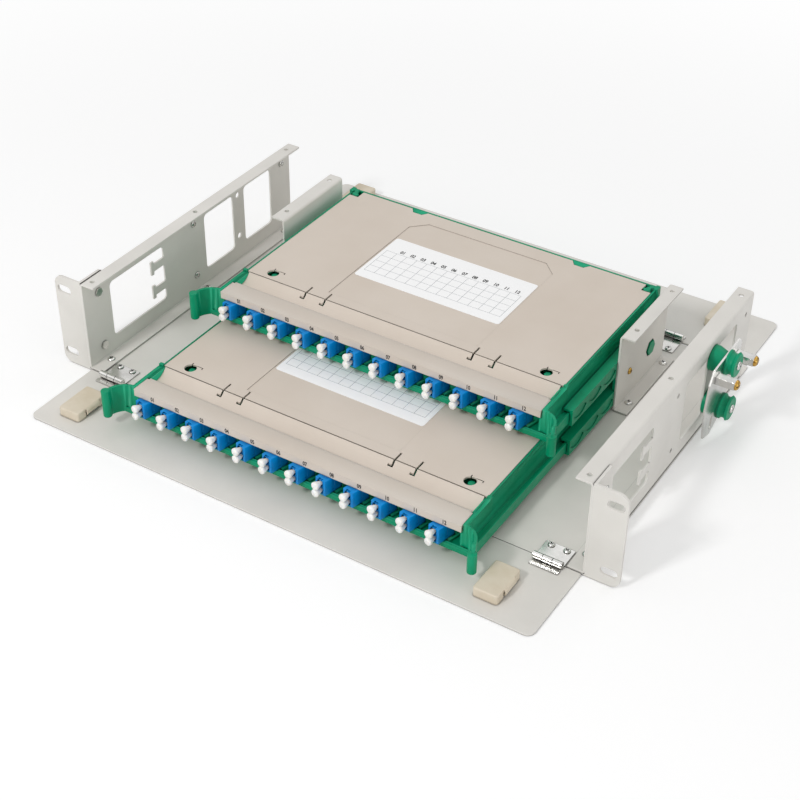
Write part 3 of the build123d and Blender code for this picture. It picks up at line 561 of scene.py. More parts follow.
def finished(name: str, mesh: Mesh, finish: Finish, body: str, instead_of: tuple[str, ...] = (),
             smooth: bool = True) -> bpy.types.Object:
    """Put a finished mesh in the scene as a piece that rides on a body.

    Args:
        name: The piece's name.
        mesh: Its mesh, already in place.
        finish: Its finish.
        body: The body that carries it.
        instead_of: Nodes that it stands for.
        smooth: Whether its curves are shaded round; a flat sheet with openings stays as it is.

    Returns:
        The piece.
    """
    piece = shown(name, mesh)
    if smooth:
        mesh.shade_smooth()
        mesh.set_sharp_from_angle(angle=math.radians(SHARP_DEG))
    else:
        mesh.shade_flat()
    mesh.materials.clear()
    mesh.materials.append(finish.material())
    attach(piece, body)
    if instead_of:
        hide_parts(*instead_of)
    log.info("%s: %d faces", name, len(mesh.polygons))
    return piece


def body_of(node: str) -> str:
    """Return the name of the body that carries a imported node.

    Args:
        node: The node's name.
    """
    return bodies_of(frame["nodes"][node])[0]


def dress_node(name: str, finish: Finish) -> None:
    """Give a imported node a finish.

    Args:
        name: The node.
        finish: The finish.
    """
    node = frame["nodes"][name]
    node.data.materials.clear()
    node.data.materials.append(finish.material())
    for face in node.data.polygons:
        face.material_index = 0


def dress_nodes(starts: tuple[str, ...]) -> None:
    """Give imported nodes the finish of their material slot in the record.

    Args:
        starts: Starts of the nodes' names.
    """
    kinds = (POWDER, ZINC, BRASS, GREEN, BEIGE, BLUE, WHITE, CREAM, GREY, SLEEVE)
    finishes = {finish.slot: finish for finish in kinds}
    for row in frame["record"]["subparts"]:
        if row["node"].startswith(starts) and row["material_slot"] in finishes:
            dress_node(row["node"], finishes[row["material_slot"]])


@dataclass(frozen=True)
class Solid:
    """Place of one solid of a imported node: its low and high corners, in metres."""

    low: Vector
    high: Vector

    @property
    def middle(self) -> Vector:
        """Middle of the solid."""
        return (self.low + self.high) / 2


def welded(node: str) -> Shape:
    """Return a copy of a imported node's mesh with its corners welded, in metres.

    Args:
        node: The node's name.
    """
    mesh = bmesh.new()
    mesh.from_mesh(frame["nodes"][node].data)
    bmesh.ops.remove_doubles(mesh, verts=mesh.verts, dist=1e-6)
    return mesh


def solids(node: str) -> list[Solid]:
    """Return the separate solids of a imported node, from left to right.

    Args:
        node: The node's name.
    """
    mesh = welded(node)
    mesh.verts.ensure_lookup_table()
    mesh.verts.index_update()
    seen: set[int] = set()
    found = []
    for start in mesh.verts:
        if start.index in seen:
            continue
        seen.add(start.index)
        queue = [start]
        points = []
        while queue:
            vert = queue.pop()
            points.append(vert.co.copy())
            for edge in vert.link_edges:
                other = edge.other_vert(vert)
                if other.index not in seen:
                    seen.add(other.index)
                    queue.append(other)
        low = Vector([min(point[axis] for point in points) for axis in range(3)])
        high = Vector([max(point[axis] for point in points) for axis in range(3)])
        found.append(Solid(low, high))
    mesh.free()
    return sorted(found, key=lambda solid: tuple(round(value, 5) for value in solid.middle))


def merged(node: str) -> Mesh:
    """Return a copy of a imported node's mesh with its corners welded, in millimetres.

    Args:
        node: The node's name.
    """
    mesh = welded(node)
    bmesh.ops.scale(mesh, vec=(1 / MM, 1 / MM, 1 / MM), verts=mesh.verts)
    return settled("merged", mesh)


def new_tree(name: str, inputs: dict[str, str]) -> tuple[Tree, Node]:
    """Start a Geometry Nodes tree with named inputs.

    Args:
        name: The tree's name.
        inputs: Socket type of each input by name.

    Returns:
        The tree and its input node.
    """
    tree = bpy.data.node_groups.new(name, "GeometryNodeTree")
    tree.interface.new_socket("Geometry", in_out="INPUT", socket_type="NodeSocketGeometry")
    for label, kind in inputs.items():
        tree.interface.new_socket(label, in_out="INPUT", socket_type=kind)
    tree.interface.new_socket("Geometry", in_out="OUTPUT", socket_type="NodeSocketGeometry")
    return tree, add(tree, "NodeGroupInput")


def end_tree(tree: Tree, instances: Socket, finish: Socket) -> None:
    """End a Geometry Nodes tree: its instances become plain geometry with a finish.

    Args:
        tree: The tree.
        instances: What it has made so far.
        finish: The finish's material.
    """
    real = add(tree, "GeometryNodeRealizeInstances", Geometry=instances)
    coated = add(tree, "GeometryNodeSetMaterial", Geometry=real.outputs[0], Material=finish)
    add(tree, "NodeGroupOutput", Geometry=coated.outputs[0])


def grown(tree: Tree, seats: Mesh, values: dict[str, object]) -> Mesh:
    """Run a Geometry Nodes tree once and return what it makes as a plain mesh.

    Args:
        tree: The tree.
        seats: The mesh that it starts from.
        values: Its inputs by name.

    Returns:
        The made mesh.
    """
    carrier = shown("carrier", seats)
    modifier = carrier.modifiers.new("grow", "NODES")
    modifier.node_group = tree
    for item in tree.interface.items_tree:
        if item.item_type == "SOCKET" and item.in_out == "INPUT" and item.name in values:
            modifier[item.identifier] = values[item.name]
    return baked(carrier)


def seat_mesh(places: list[Vector], aims: list[Vector]) -> Mesh:
    """Return a mesh of bare points, each with the direction that its piece looks in.

    Args:
        places: The points, in metres.
        aims: The directions.
    """
    mesh = bpy.data.meshes.new("seats")
    mesh.from_pydata(places, [], [])
    aim = mesh.attributes.new("aim", "FLOAT_VECTOR", "POINT")
    for index, direction in enumerate(aims):
        aim.data[index].vector = direction
    return mesh


def turned(profile: list[tuple[float, float]], steps: int, axis: Matrix) -> Shape:
    """Turn a profile of radius and height, in millimetres, round its axis into a closed solid.

    Args:
        profile: Points from the bottom pole to the top pole; both ends lie on the axis.
        steps: Number of faces round.
        axis: Where the axis, which is Z before, comes to lie.

    Returns:
        The solid.
    """
    mesh = bmesh.new()
    rings = []
    for radius, height in profile:
        count = 1 if radius == 0 else steps
        ring = []
        for step in range(count):
            angle = math.tau * step / steps
            ring.append(mesh.verts.new((radius * math.cos(angle), radius * math.sin(angle), height)))
        rings.append(ring)
    for lower, upper in zip(rings, rings[1:]):
        for step in range(steps):
            after = (step + 1) % steps
            corners = [lower[step % len(lower)], lower[after % len(lower)], upper[after % len(upper)],
                       upper[step % len(upper)]]
            mesh.faces.new(list(dict.fromkeys(corners)))
    bmesh.ops.transform(mesh, matrix=axis, verts=mesh.verts)
    bmesh.ops.recalc_face_normals(mesh, faces=mesh.faces)
    return mesh


def brick(low: Corner, high: Corner, edge: float = 0.0) -> Shape:
    """Return a block between two corners in millimetres, with its edges broken.

    Args:
        low: Low corner.
        high: High corner.
        edge: Width of the broken edges.
    """
    mesh = bmesh.new()
    size = Vector(high) - Vector(low)
    middle = (Vector(high) + Vector(low)) / 2
    bmesh.ops.create_cube(mesh, size=1.0, matrix=Matrix.Translation(middle) @ Matrix.Diagonal((*size, 1.0)))
    if edge:
        bmesh.ops.bevel(mesh, geom=mesh.edges[:], offset=edge, segments=2, affect="EDGES", profile=0.5)
    return mesh


def joined(parts: list[Shape]) -> Mesh:
    """Put solids together in one mesh without cutting them.

    Args:
        parts: The solids, which are used up.
    """
    whole = bmesh.new()
    for part in parts:
        loose = settled("loose", part)
        whole.from_mesh(loose)
        bpy.data.meshes.remove(loose)
    return settled("joined", whole)


def carved(body: Mesh, cutter: Mesh, operation: str = "DIFFERENCE") -> Mesh:
    """Cut one mesh out of another, or weld the two.

    Args:
        body: The mesh that is cut.
        cutter: The mesh that cuts.
        operation: The Boolean operation.

    Returns:
        The result.
    """
    first = shown("body", body)
    second = shown("cutter", cutter)
    modifier = first.modifiers.new("carve", "BOOLEAN")
    modifier.operation = operation
    modifier.solver = "EXACT"
    modifier.use_self = True
    modifier.object = second
    made = baked(first)
    bpy.data.objects.remove(second)
    return made


def ink_numbers(count: int, height_mm: float, narrow: float, places: list[Matrix]) -> Mesh:
    """Return flat printed numbers of two digits as one mesh, each a thin closed solid.

    Args:
        count: The last number; the first is 01.
        height_mm: Height of a digit.
        narrow: Width of a digit as a share of its natural width.
        places: Where each is printed; the text lies in the XY plane of its place, in millimetres.
    """
    whole = bmesh.new()
    for number, place in zip(range(1, count + 1), places):
        curve = bpy.data.curves.new("digits", "FONT")
        curve.body = f"{number:02d}"
        curve.size = height_mm / DIGIT_SHARE
        curve.align_x = "CENTER"
        curve.align_y = "CENTER"
        curve.extrude = INK_MM
        curve.offset = BOLD_SHARE * height_mm
        curve.resolution_u = 3
        flat = baked(shown("digits", curve))
        flat.transform(Matrix.Scale(MM, 4) @ place @ Matrix.Diagonal((narrow, 1.0, 1.0, 1.0)))
        whole.from_mesh(flat)
        bpy.data.meshes.remove(flat)
    bmesh.ops.remove_doubles(whole, verts=whole.verts, dist=1e-7)
    return settled("digits", whole)


# Fasteners

HEAD_SIDES = 28  # faces round a round head
SHANK_SIDES = 20  # faces round a shank or a bore
CROWN = (1.03, 1.25)  # half axes of the ball that rounds a head, as shares of its radius and height
END_SHARE = 0.34  # radius of the screw's end in a nut, as a share of the bore's width
OVERLAP_MM = 0.1  # how far a shank reaches into its head
SIZES = ("Head Radius", "Head Height", "Drive Width", "Drive Length", "Drive Depth", "Shank Radius",
         "Shank Length", "Nut Radius", "Nut Height")


class Drive(Enum):
    """What turns a screw or nut: a cross recess, a slot, a round recess, or a bore that goes through."""

    CROSS = "cross"
    SLOT = "slot"
    PIT = "pit"
    BORE = "bore"


class Way(Enum):
    """The way that the heads of a node's fasteners look."""

    UP = "up"
    OUTWARD = "outward"
    INWARD = "inward"

    def aim(self, solid: Solid) -> Vector:
        """Return the direction in which the head on a solid looks.

        Args:
            solid: The solid.
        """
        if self is Way.UP:
            return Vector((0, 0, 1))
        side = math.copysign(1, solid.middle.x)
        return Vector((side if self is Way.OUTWARD else -side, 0, 0))


@dataclass
class Fasteners:
    """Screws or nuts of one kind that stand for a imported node's plain ones.

    Attributes:
        node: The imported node.
        finish: Their finish.
        drive: Their drive.
        head_mm: Radius and height of the head.
        drive_mm: Width, length and depth of the drive.
        shank_mm: Radius of the shank, or 0 for a nut.
        nut_mm: Radius and height of the nut at the shank's end, or 0 and 0.
        sides: Number of sides of the head: 28 for a round one and 6 for a hexagon.
        way: The way that the heads look.
        seed: Seed of the chance turns in which they stopped.
    """

    node: str
    finish: Finish
    drive: Drive
    head_mm: tuple[float, float]
    drive_mm: Corner
    shank_mm: float
    nut_mm: tuple[float, float] = (0.0, 0.0)
    sides: int = HEAD_SIDES
    way: Way = Way.UP
    seed: int = 7

    def tree(self) -> Tree:
        """Build the tree that sets a fastener on each seat; sizes are in millimetres until the last step."""
        kinds = dict.fromkeys(SIZES, "NodeSocketFloat")
        kinds |= {"Sides": "NodeSocketInt", "Seed": "NodeSocketInt", "Finish": "NodeSocketMaterial"}
        tree, group = new_tree(f"{self.node}_tree", kinds)
        given = group.outputs
        head_radius, head_height, width, length, depth, shank_radius, shank_length, nut_radius, nut_height = (
            given[name] for name in SIZES)

        def product(value: Socket, factor: float, plus: float = 0.0) -> Socket:
            """Return a value times a factor, plus a length."""
            return maths(tree, "MULTIPLY_ADD", value, factor, plus)

        def rod(steps: int | Socket, radius: Socket, depth: Socket) -> Node:
            """Return an upright cylinder about the origin."""
            return add(tree, "GeometryNodeMeshCylinder", Vertices=steps, Radius=radius, Depth=depth)

        def raised(shape: Node, height: Socket) -> Socket:
            """Return a shape moved up."""
            lift = add(tree, "ShaderNodeCombineXYZ", Z=height)
            moved = add(tree, "GeometryNodeTransform", Geometry=shape.outputs[0], Translation=lift.outputs[0])
            return moved.outputs[0]

        def combined(operation: str, shapes: list[Socket]) -> Node:
            """Return the union or the common part of shapes."""
            node = add(tree, "GeometryNodeMeshBoolean", {"operation": operation, "solver": "EXACT"})
            for shape in shapes:
                tree.links.new(shape, node.inputs[1])
            return node

        ball = add(tree, "GeometryNodeMeshUVSphere", Segments=HEAD_SIDES, Rings=16, Radius=1.0)
        wide = product(head_radius, CROWN[0])
        crown = add(tree, "ShaderNodeCombineXYZ", X=wide, Y=wide, Z=product(head_height, CROWN[1]))
        dome = add(tree, "GeometryNodeTransform", Geometry=ball.outputs[0], Scale=crown.outputs[0])
        stock = rod(given["Sides"], head_radius, head_height)
        head = combined("INTERSECT", [dome.outputs[0], raised(stock, product(head_height, 0.5))])
        hollow = add(tree, "GeometryNodeMeshBoolean", {"operation": "DIFFERENCE", "solver": "EXACT"},
                     i0=head.outputs[0])
        deep = product(depth, 2.0)
        whole = hollow
        if self.drive in (Drive.PIT, Drive.BORE):
            tool = rod(SHANK_SIDES, product(width, 0.5), deep)
            tree.links.new(raised(tool, head_height), hollow.inputs[1])
        if self.drive is Drive.BORE:
            end = rod(SHANK_SIDES, product(width, END_SHARE), head_height)
            whole = add(tree, "GeometryNodeJoinGeometry")
            tree.links.new(raised(end, product(head_height, 0.5)), whole.inputs[0])
            tree.links.new(hollow.outputs[0], whole.inputs[0])
        if self.drive in (Drive.CROSS, Drive.SLOT):
            spans = ((length, width), (width, length))
            for across, along in spans if self.drive is Drive.CROSS else spans[:1]:
                blade = add(tree, "ShaderNodeCombineXYZ", X=across, Y=along, Z=deep)
                tool = add(tree, "GeometryNodeMeshCube", Size=blade.outputs[0])
                tree.links.new(raised(tool, head_height), hollow.inputs[1])
        if self.shank_mm:
            shank = rod(SHANK_SIDES, shank_radius, product(shank_length, 1.0, 2 * OVERLAP_MM))
            parts = [whole.outputs[0], raised(shank, product(shank_length, -0.5, OVERLAP_MM))]
            if self.nut_mm[0]:
                nut = rod(6, nut_radius, nut_height)
                half = product(nut_height, 0.5)
                parts.append(raised(nut, maths(tree, "SUBTRACT", half, shank_length)))
            whole = combined("UNION", parts)
        aim = add(tree, "GeometryNodeInputNamedAttribute", {"data_type": "FLOAT_VECTOR"}, Name="aim")
        turn = add(tree, "FunctionNodeAlignRotationToVector", {"axis": "Z"}, Vector=aim.outputs[0])
        seated = add(tree, "GeometryNodeInstanceOnPoints", Points=given["Geometry"],
                     Instance=whole.outputs[0], Rotation=turn.outputs[0], Scale=(MM, MM, MM))
        chance = add(tree, "FunctionNodeRandomValue", {"data_type": "FLOAT"}, i3=math.tau, Seed=given["Seed"])
        spin = add(tree, "ShaderNodeCombineXYZ", Z=chance.outputs[1])
        spun = add(tree, "GeometryNodeRotateInstances", Instances=seated.outputs[0], Rotation=spin.outputs[0])
        end_tree(tree, spun.outputs[0], given["Finish"])
        return tree

    def build(self) -> bpy.types.Object:
        """Set a fastener where each solid of the node is, as long as that solid."""
        places, aims = [], []
        length = 0.0
        for solid in solids(self.node):
            aim = self.way.aim(solid)
            span = abs((solid.high - solid.low).dot(aim))
            length = span / MM - self.head_mm[1]
            places.append(solid.middle + aim * (span / 2 - self.head_mm[1] * MM))
            aims.append(aim)
        values = dict(zip(SIZES, (*self.head_mm, *self.drive_mm, self.shank_mm, length, *self.nut_mm)))
        values |= {"Sides": self.sides, "Seed": self.seed, "Finish": self.finish.material()}
        made = grown(self.tree(), seat_mesh(places, aims), values)
        return finished(f"{self.node}_made", made, self.finish, body_of(self.node), (self.node,))


# Sub-assemblies

@dataclass
class Chassis:
    """Base plate, side plates, rack ears, inner brackets, rails and fixed hinge halves, with their fasteners.

    Attributes:
        nodes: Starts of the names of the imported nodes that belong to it.
    """

    nodes: tuple[str, ...] = ("base_plate", "side_plate", "rack_ear", "inner_bracket", "rail_left",
                              "rail_right", "front_hinge", "rear_hinge")

    def fasteners(self) -> list[Fasteners]:
        """Return the sets of screws and nuts."""
        return [
            Fasteners("ear_screws", ZINC, Drive.CROSS, (3.2, 1.9), (0.8, 3.3, 1.0), 2.0, (3.6, 1.6),
                      way=Way.OUTWARD),
            Fasteners("side_nuts", ZINC, Drive.BORE, (3.1, 1.5), (3.4, 0.0, 1.9), 0.0, sides=6,
                      way=Way.INWARD),
            Fasteners("foot_screws", ZINC, Drive.CROSS, (3.1, 1.8), (0.8, 3.2, 1.0), 2.0),
            Fasteners("bracket_screws", ZINC, Drive.CROSS, (3.1, 1.8), (0.8, 3.2, 1.0), 2.0),
            Fasteners("hinge_screws", ZINC, Drive.CROSS, (2.6, 1.4), (0.8, 3.0, 0.9), 1.6),
            Fasteners("rail_screws", BRASS, Drive.PIT, (2.7, 1.6), (2.2, 0.0, 0.9), 2.0, way=Way.OUTWARD),
        ]

    def build(self) -> None:
        """Dress the sheet metal and set the fasteners."""
        dress_nodes(self.nodes)
        for kind in self.fasteners():
            kind.build()


@dataclass
class Doors:
    """Front and rear door with their moving hinge halves and snap catches.

    Attributes:
        nodes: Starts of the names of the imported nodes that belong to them.
    """

    nodes: tuple[str, ...] = ("front_door", "rear_door", "front_latch", "rear_latch")

    def build(self) -> None:
        """Dress both doors."""
        dress_nodes(self.nodes)


@dataclass
class CableClamp:
    """Zinc plate on the right side that takes the incoming cables, on four green bushes.

    Attributes:
        nodes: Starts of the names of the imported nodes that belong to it.
    """

    nodes: tuple[str, ...] = ("clamp_plate", "lower_bush", "upper_bush")

    def build(self) -> None:
        """Dress the plate and the bushes, and set the clamp's screws."""
        dress_nodes(self.nodes)
        out = Way.OUTWARD
        Fasteners("clamp_screws", BRASS, Drive.SLOT, (4.0, 2.4), (0.9, 9.0, 0.9), 0.0, way=out).build()
        Fasteners("bush_screws", ZINC, Drive.CROSS, (3.4, 1.6), (0.8, 3.4, 0.9), 2.0, way=out).build()


@dataclass
class Tray:
    """One drawer tray with its front bar, cover, label, adapters, caps and splice holder.

    Attributes:
        level: "lower" or "upper".
        height_mm: Height of the tray, from its underside to the top of the front bar.
        adapter_mm: Width, length and height of an adapter.
        place_mm: Middle of the first adapter's front edge, from the tray's origin: the middle of its front
            at its underside.
        pitch_mm: Distance between adapters.
        angle_deg: Angle at which the adapters stand to the front.
        port_mm: Side, depth and spacing of the ports.
        cap_profile: Radius and distance from the adapter's face, in millimetres, along a dust cap.
        clear_mm: Half width, rear, underside and top of the space that the adapters need.
        edge_mm: Rear, underside and top of the front edge that the sill takes the place of.
        sill_mm: Half width, front, rear, underside and top of the sill that the adapters lie on.
        tip_mm: Length, rear and play of the sill's thinner ends.
        seat_mm: Reach beside the adapter, front, rear and thickness of the seat under it.
        cheek_mm: Distance from the adapter, half thickness, front, rear, underside and top of a seat's cheek.
        pad_mm: Half side, underside and top of the space round a boss.
        boss_profile: Radius and height, in millimetres, along a boss under a finger hole.
        boss_mm: Place of a boss from its finger hole.
        seam_mm: Distance of the seam between front bar and cover from the tray's front.
        tongue_mm: Place of the tongues' middles and half their width.
        hole_mm: Place of the finger holes.
        slits_mm: Left, right, front and rear of the fine slits at a finger hole, from its middle.
        lip_mm: First lip number's place, spacing, distance under the top and height.
        table_mm: Left end, front edge, column width and row height of the label's table, from the label's
            middle front.
        digit_mm: First number's place, spacing and height on the label.
    """

    level: str
    height_mm: float = 23.5
    adapter_mm: Corner = (9.4, 26.0, 12.9)
    place_mm: Corner = (-130.7, -5.0, 4.4)
    pitch_mm: float = 22.9
    angle_deg: float = 12.5
    port_mm: Corner = (4.8, 6.5, 6.25)
    cap_profile: tuple[tuple[float, float], ...] = (
        (0.0, -6.3), (2.1, -6.2), (2.8, -5.8), (3.12, -5.2), (3.12, -4.4), (2.9, -3.6), (2.5, -2.6),
        (2.05, -1.4), (1.6, 0.0), (1.45, 2.0), (1.4, 4.5), (0.0, 4.5))
    clear_mm: tuple[float, ...] = (137.6, 26.0, 1.75, 17.0)
    edge_mm: Corner = (1.05, -1.0, 5.0)
    sill_mm: tuple[float, ...] = (147.0, -1.5, 1.2, -0.2, 4.4)
    tip_mm: Corner = (3.5, -0.5, 0.02)
    seat_mm: tuple[float, ...] = (1.4, 9.0, 25.0, 2.8)
    cheek_mm: tuple[float, ...] = (0.75, 0.6, 16.0, 24.9, -0.6, 8.8)
    pad_mm: Corner = (4.5, 1.75, 22.5)
    boss_profile: tuple[tuple[float, float], ...] = (
        (0.0, 1.5), (2.9, 1.5), (2.9, 20.4), (2.5, 20.9), (0.0, 21.0))
    boss_mm: tuple[float, float] = (0.6, 1.3)
    seam_mm: float = 34.6
    tongue_mm: tuple[float, float] = (74.5, 9.0)
    hole_mm: tuple[float, float] = (121.0, 43.5)
    slits_mm: tuple[tuple[float, ...], ...] = (
        (-0.5, 8.5, 4.1, 4.9), (7.8, 8.6, 2.6, 4.8), (-2.2, -1.4, 3.6, 6.4))
    lip_mm: tuple[float, float, float, float] = (-122.2, 22.6, 3.2, 3.4)
    table_mm: tuple[float, float, float, float] = (-61.8, 9.8, 9.42, 8.4)
    digit_mm: tuple[float, float, float, float] = (-49.0, 46.9, 9.5, 3.8)

    def node(self, part: str) -> str:
        """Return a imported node's name."""
        return f"{self.level}_{part}"

    @property
    def body(self) -> str:
        """Name of the body that slides."""
        return body_of(self.node("tray"))

    @property
    def origin(self) -> Vector:
        """Middle of the tray's front at its underside, in millimetres."""
        low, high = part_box(self.node("front_bar"))
        return Vector(((low.x + high.x) / 2 / MM, low.y / MM, high.z / MM - self.height_mm))

    def places(self) -> list[Matrix]:
        """Return where the adapters stand, in millimetres from the tray's origin."""
        x, y, z = self.place_mm
        turn = Matrix.Rotation(-math.radians(self.angle_deg), 4, "Z")
        return [Matrix.Translation((x + index * self.pitch_mm, y, z)) @ turn for index in range(COUNT)]

    def shell(self) -> None:
        """Give the tray one straight sill up to its handles, and seats that hide under the adapters."""
        base = Matrix.Translation(self.origin)

        def block(low: Corner, high: Corner, edge: float = 0.0, place: Matrix = Matrix()) -> Shape:
            """Return a block of the tray, given in millimetres from its origin or from a place in it."""
            solid = brick(low, high, edge)
            bmesh.ops.transform(solid, matrix=base @ place, verts=solid.verts)
            return solid

        front = -6.0
        half, rear, under, top = self.clear_mm
        lip_rear, lip_under, lip_top = self.edge_mm
        body = carved(merged(self.node("tray")), joined([
            block((-half, front, under), (half, rear, top)),
            block((-half, front, lip_under), (half, lip_rear, lip_top))]))
        x_hole, y_hole = self.hole_mm
        pad, pad_under, pad_top = self.pad_mm
        for side in (-1, 1):
            x = side * x_hole
            space = block((x - pad, y_hole - pad, pad_under), (x + pad, y_hole + pad, pad_top))
            body = carved(body, joined([space]))
            boss = base @ Matrix.Translation((x + self.boss_mm[0], y_hole + self.boss_mm[1], 0.0))
            body = carved(body, joined([turned(list(self.boss_profile), 24, boss)]), "UNION")
        half, front, rear, under, top = self.sill_mm
        body = carved(body, joined([block((-half, front, under), (half, rear, top), 0.5)]), "UNION")
        longer, tip_rear, play = self.tip_mm
        tip = block((-half - longer, front + play, under + play), (half + longer, tip_rear, top - play), 0.45)
        body = carved(body, joined([tip]), "UNION")
        seats = []
        wide = self.adapter_mm[0] / 2
        beside, front, rear, thick = self.seat_mm
        away, cheek, start, end, low, high = self.cheek_mm
        for place in self.places():
            seats.append(block((-wide - beside, front, -thick), (wide + beside, rear, -play), 0.0, place))
            for side in (-1, 1):
                middle = side * (wide + away)
                seats.append(block((middle - cheek, start, low), (middle + cheek, end, high), 0.0, place))
        body = carved(body, joined(seats), "UNION")
        body.transform(Matrix.Scale(MM, 4))
        finished(self.node("tray_made"), body, GREEN, self.body, (self.node("tray"),))

    def seams(self) -> None:
        """Open the seam between bar and cover, the slits of the tongues and those of the finger holes."""
        start = self.origin
        x_tongue, half_tongue = self.tongue_mm
        x_hole, y_hole = self.hole_mm
        y_seam = self.seam_mm
        deep = 9.0

        def block(x0: float, x1: float, y0: float, y1: float) -> Shape:
            """Return a cutter through the sheet, given in millimetres from the tray's origin."""
            low = Vector((x0, y0, self.height_mm - deep))
            high = Vector((x1, y1, self.height_mm + 1.0))
            return brick(tuple(start + low), tuple(start + high))

        slits, feet = [], []
        thin, reach, foot, hook = 0.8, 9.2, 4.3, 3.6
        for side in (-1, 1):
            for edge in (-1, 1):
                x = side * x_tongue + edge * half_tongue
                slits.append(block(x - thin, x + thin, y_seam - 0.2, y_seam + reach))
                feet.append(joined([block(x - thin, x + thin, y_seam - foot, y_seam + 1.0),
                                    block(x - hook, x + 0.7, y_seam - foot - 0.1, y_seam - foot + 1.5)]))
            x = side * x_hole
            for left, right, front, rear in self.slits_mm:
                slits.append(block(x + left, x + right, y_hole + front, y_hole + rear))
        cover = merged(self.node("cover"))
        half, ahead, behind = 142.0, 1.5, 0.95
        for slit in slits + [block(-half, half, y_seam - ahead, y_seam + behind)]:
            cover = carved(cover, joined([slit]))
        bar = merged(self.node("front_bar"))
        for foot in feet:
            bar = carved(bar, foot)
        for part, mesh in (("cover", cover), ("front_bar", bar)):
            mesh.transform(Matrix.Scale(MM, 4))
            finished(self.node(f"{part}_made"), mesh, BEIGE, body_of(self.node(part)), (self.node(part),),
                     smooth=part == "front_bar")

    def adapter(self) -> Mesh:
        """Carve one duplex adapter, in millimetres, with its front face at Y = 0."""
        width, length, height = self.adapter_mm
        side, depth, pitch = self.port_mm
        half = side / 2
        blank = joined([brick((-width / 2, 0, 0), (width / 2, length, height), 0.35)])
        cutters = []
        beyond = 1.0
        keyway, key_half, key_deep = 0.8, 0.9, 3.0
        for port in (-0.5, 0.5):
            z = height / 2 + port * pitch
            for y0, y1 in ((-beyond, depth), (length - depth, length + beyond)):
                cutters.append(brick((-half, y0, z - half), (half, y1, z + half)))
            for y0, y1 in ((-beyond, key_deep), (length - key_deep, length + beyond)):
                cutters.append(brick((-half - keyway, y0, z - key_half), (0.0, y1, z + key_half)))
        notch_half, notch_low, notch_deep = 1.8, height - 0.9, 1.5
        cutters.append(brick((-notch_half, -beyond, notch_low), (notch_half, notch_deep, height + beyond)))
        groove, groove_end = 0.3, 2.4
        cutters.append(brick((width / 2 - groove, 7.0, groove_end), (width, 9.2, height - groove_end)))
        body = carved(blank, joined(cutters))
        rib = width / 2 - 1.5
        ridge = brick((-rib, 12.5, height - 0.1), (rib, length - 6, height + 0.4), 0.15)
        return carved(body, joined([ridge]), "UNION")

    def caps(self) -> Mesh:
        """Make the two dust caps and the two rear plugs of one adapter, in millimetres."""
        _, length, height = self.adapter_mm
        _, depth, pitch = self.port_mm
        parts = []
        plug, out = 2.1, 3.0
        for port in (-0.5, 0.5):
            z = height / 2 + port * pitch
            along = Matrix.Translation((0, 0, z)) @ Matrix.Rotation(-math.pi / 2, 4, "X")
            parts.append(turned(list(self.cap_profile), 28, along))
            parts.append(brick((-plug, length - depth + 1, z - plug), (plug, length + out, z + plug), 0.5))
        return joined(parts)

    def row(self, part: str, master: Mesh, finish: Finish) -> None:
        """Repeat one adapter, or its caps, along the tray.

        Args:
            part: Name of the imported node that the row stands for, without its level.
            master: The piece, in millimetres.
            finish: Its finish.
        """
        kinds = {"Count": "NodeSocketInt", "Start": "NodeSocketVector", "Pitch": "NodeSocketFloat",
                 "Angle": "NodeSocketFloat", "Finish": "NodeSocketMaterial"}
        tree, group = new_tree(f"{self.level}_{part}_tree", kinds)
        given = group.outputs
        step = add(tree, "ShaderNodeCombineXYZ", X=given["Pitch"])
        line = add(tree, "GeometryNodeMeshLine", {"mode": "OFFSET"}, Count=given["Count"],
                   Start_Location=given["Start"], Offset=step.outputs[0])
        angle = add(tree, "ShaderNodeCombineXYZ", Z=given["Angle"])
        placed = add(tree, "GeometryNodeInstanceOnPoints", Points=line.outputs[0], Instance=given["Geometry"],
                     Rotation=angle.outputs[0], Scale=(MM, MM, MM))
        end_tree(tree, placed.outputs[0], given["Finish"])
        made = grown(tree, master, {
            "Count": COUNT, "Start": tuple((self.origin + Vector(self.place_mm)) * MM),
            "Pitch": self.pitch_mm * MM, "Angle": -math.radians(self.angle_deg), "Finish": finish.material()})
        finished(f"{self.level}_{part}_made", made, finish, self.body, (self.node(part),))

    def lip_numbers(self) -> None:
        """Print 01 to 12 on the front bar's lip, each beside its adapter."""
        x, pitch, drop, height = self.lip_mm
        places = []
        for index in range(COUNT):
            spot = self.origin + Vector((x + index * pitch, 0.0, self.height_mm - drop))
            places.append(Matrix.Translation(spot) @ Matrix.Rotation(math.pi / 2, 4, "X"))
        finished(f"{self.level}_lip_numbers", ink_numbers(COUNT, height, 0.72, places), INK, self.body)

    def label(self) -> None:
        """Make the label with its rounded corners, its printed table and the numbers over the columns."""
        low, high = (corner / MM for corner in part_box(self.node("label")))
        body = body_of(self.node("label"))
        plate = brick(tuple(low), tuple(high))
        corners = [edge for edge in plate.edges if abs(edge.verts[0].co.z - edge.verts[1].co.z) > 0.1]
        bmesh.ops.bevel(plate, geom=corners, offset=2.2, segments=6, affect="EDGES", profile=0.5)
        mesh = joined([plate])
        mesh.transform(Matrix.Scale(MM, 4))
        middle = (low.x + high.x) / 2
        left, front, column, line = self.table_mm
        film = PrintedFilm(f"{self.level}_printed_polyester_film", "label_film", "ffffff", 0.4,
                           left_mm=middle + left, front_mm=low.y + front, pitch_x_mm=column, pitch_y_mm=line)
        finished(self.node("label_made"), mesh, film, body, (self.node("label"),))
        x, y, pitch, height = self.digit_mm
        places = [Matrix.Translation((middle + x + index * pitch, low.y + y, high.z))
                  for index in range(COUNT)]
        finished(f"{self.level}_label_numbers", ink_numbers(COUNT, height, 0.8, places), INK, body)

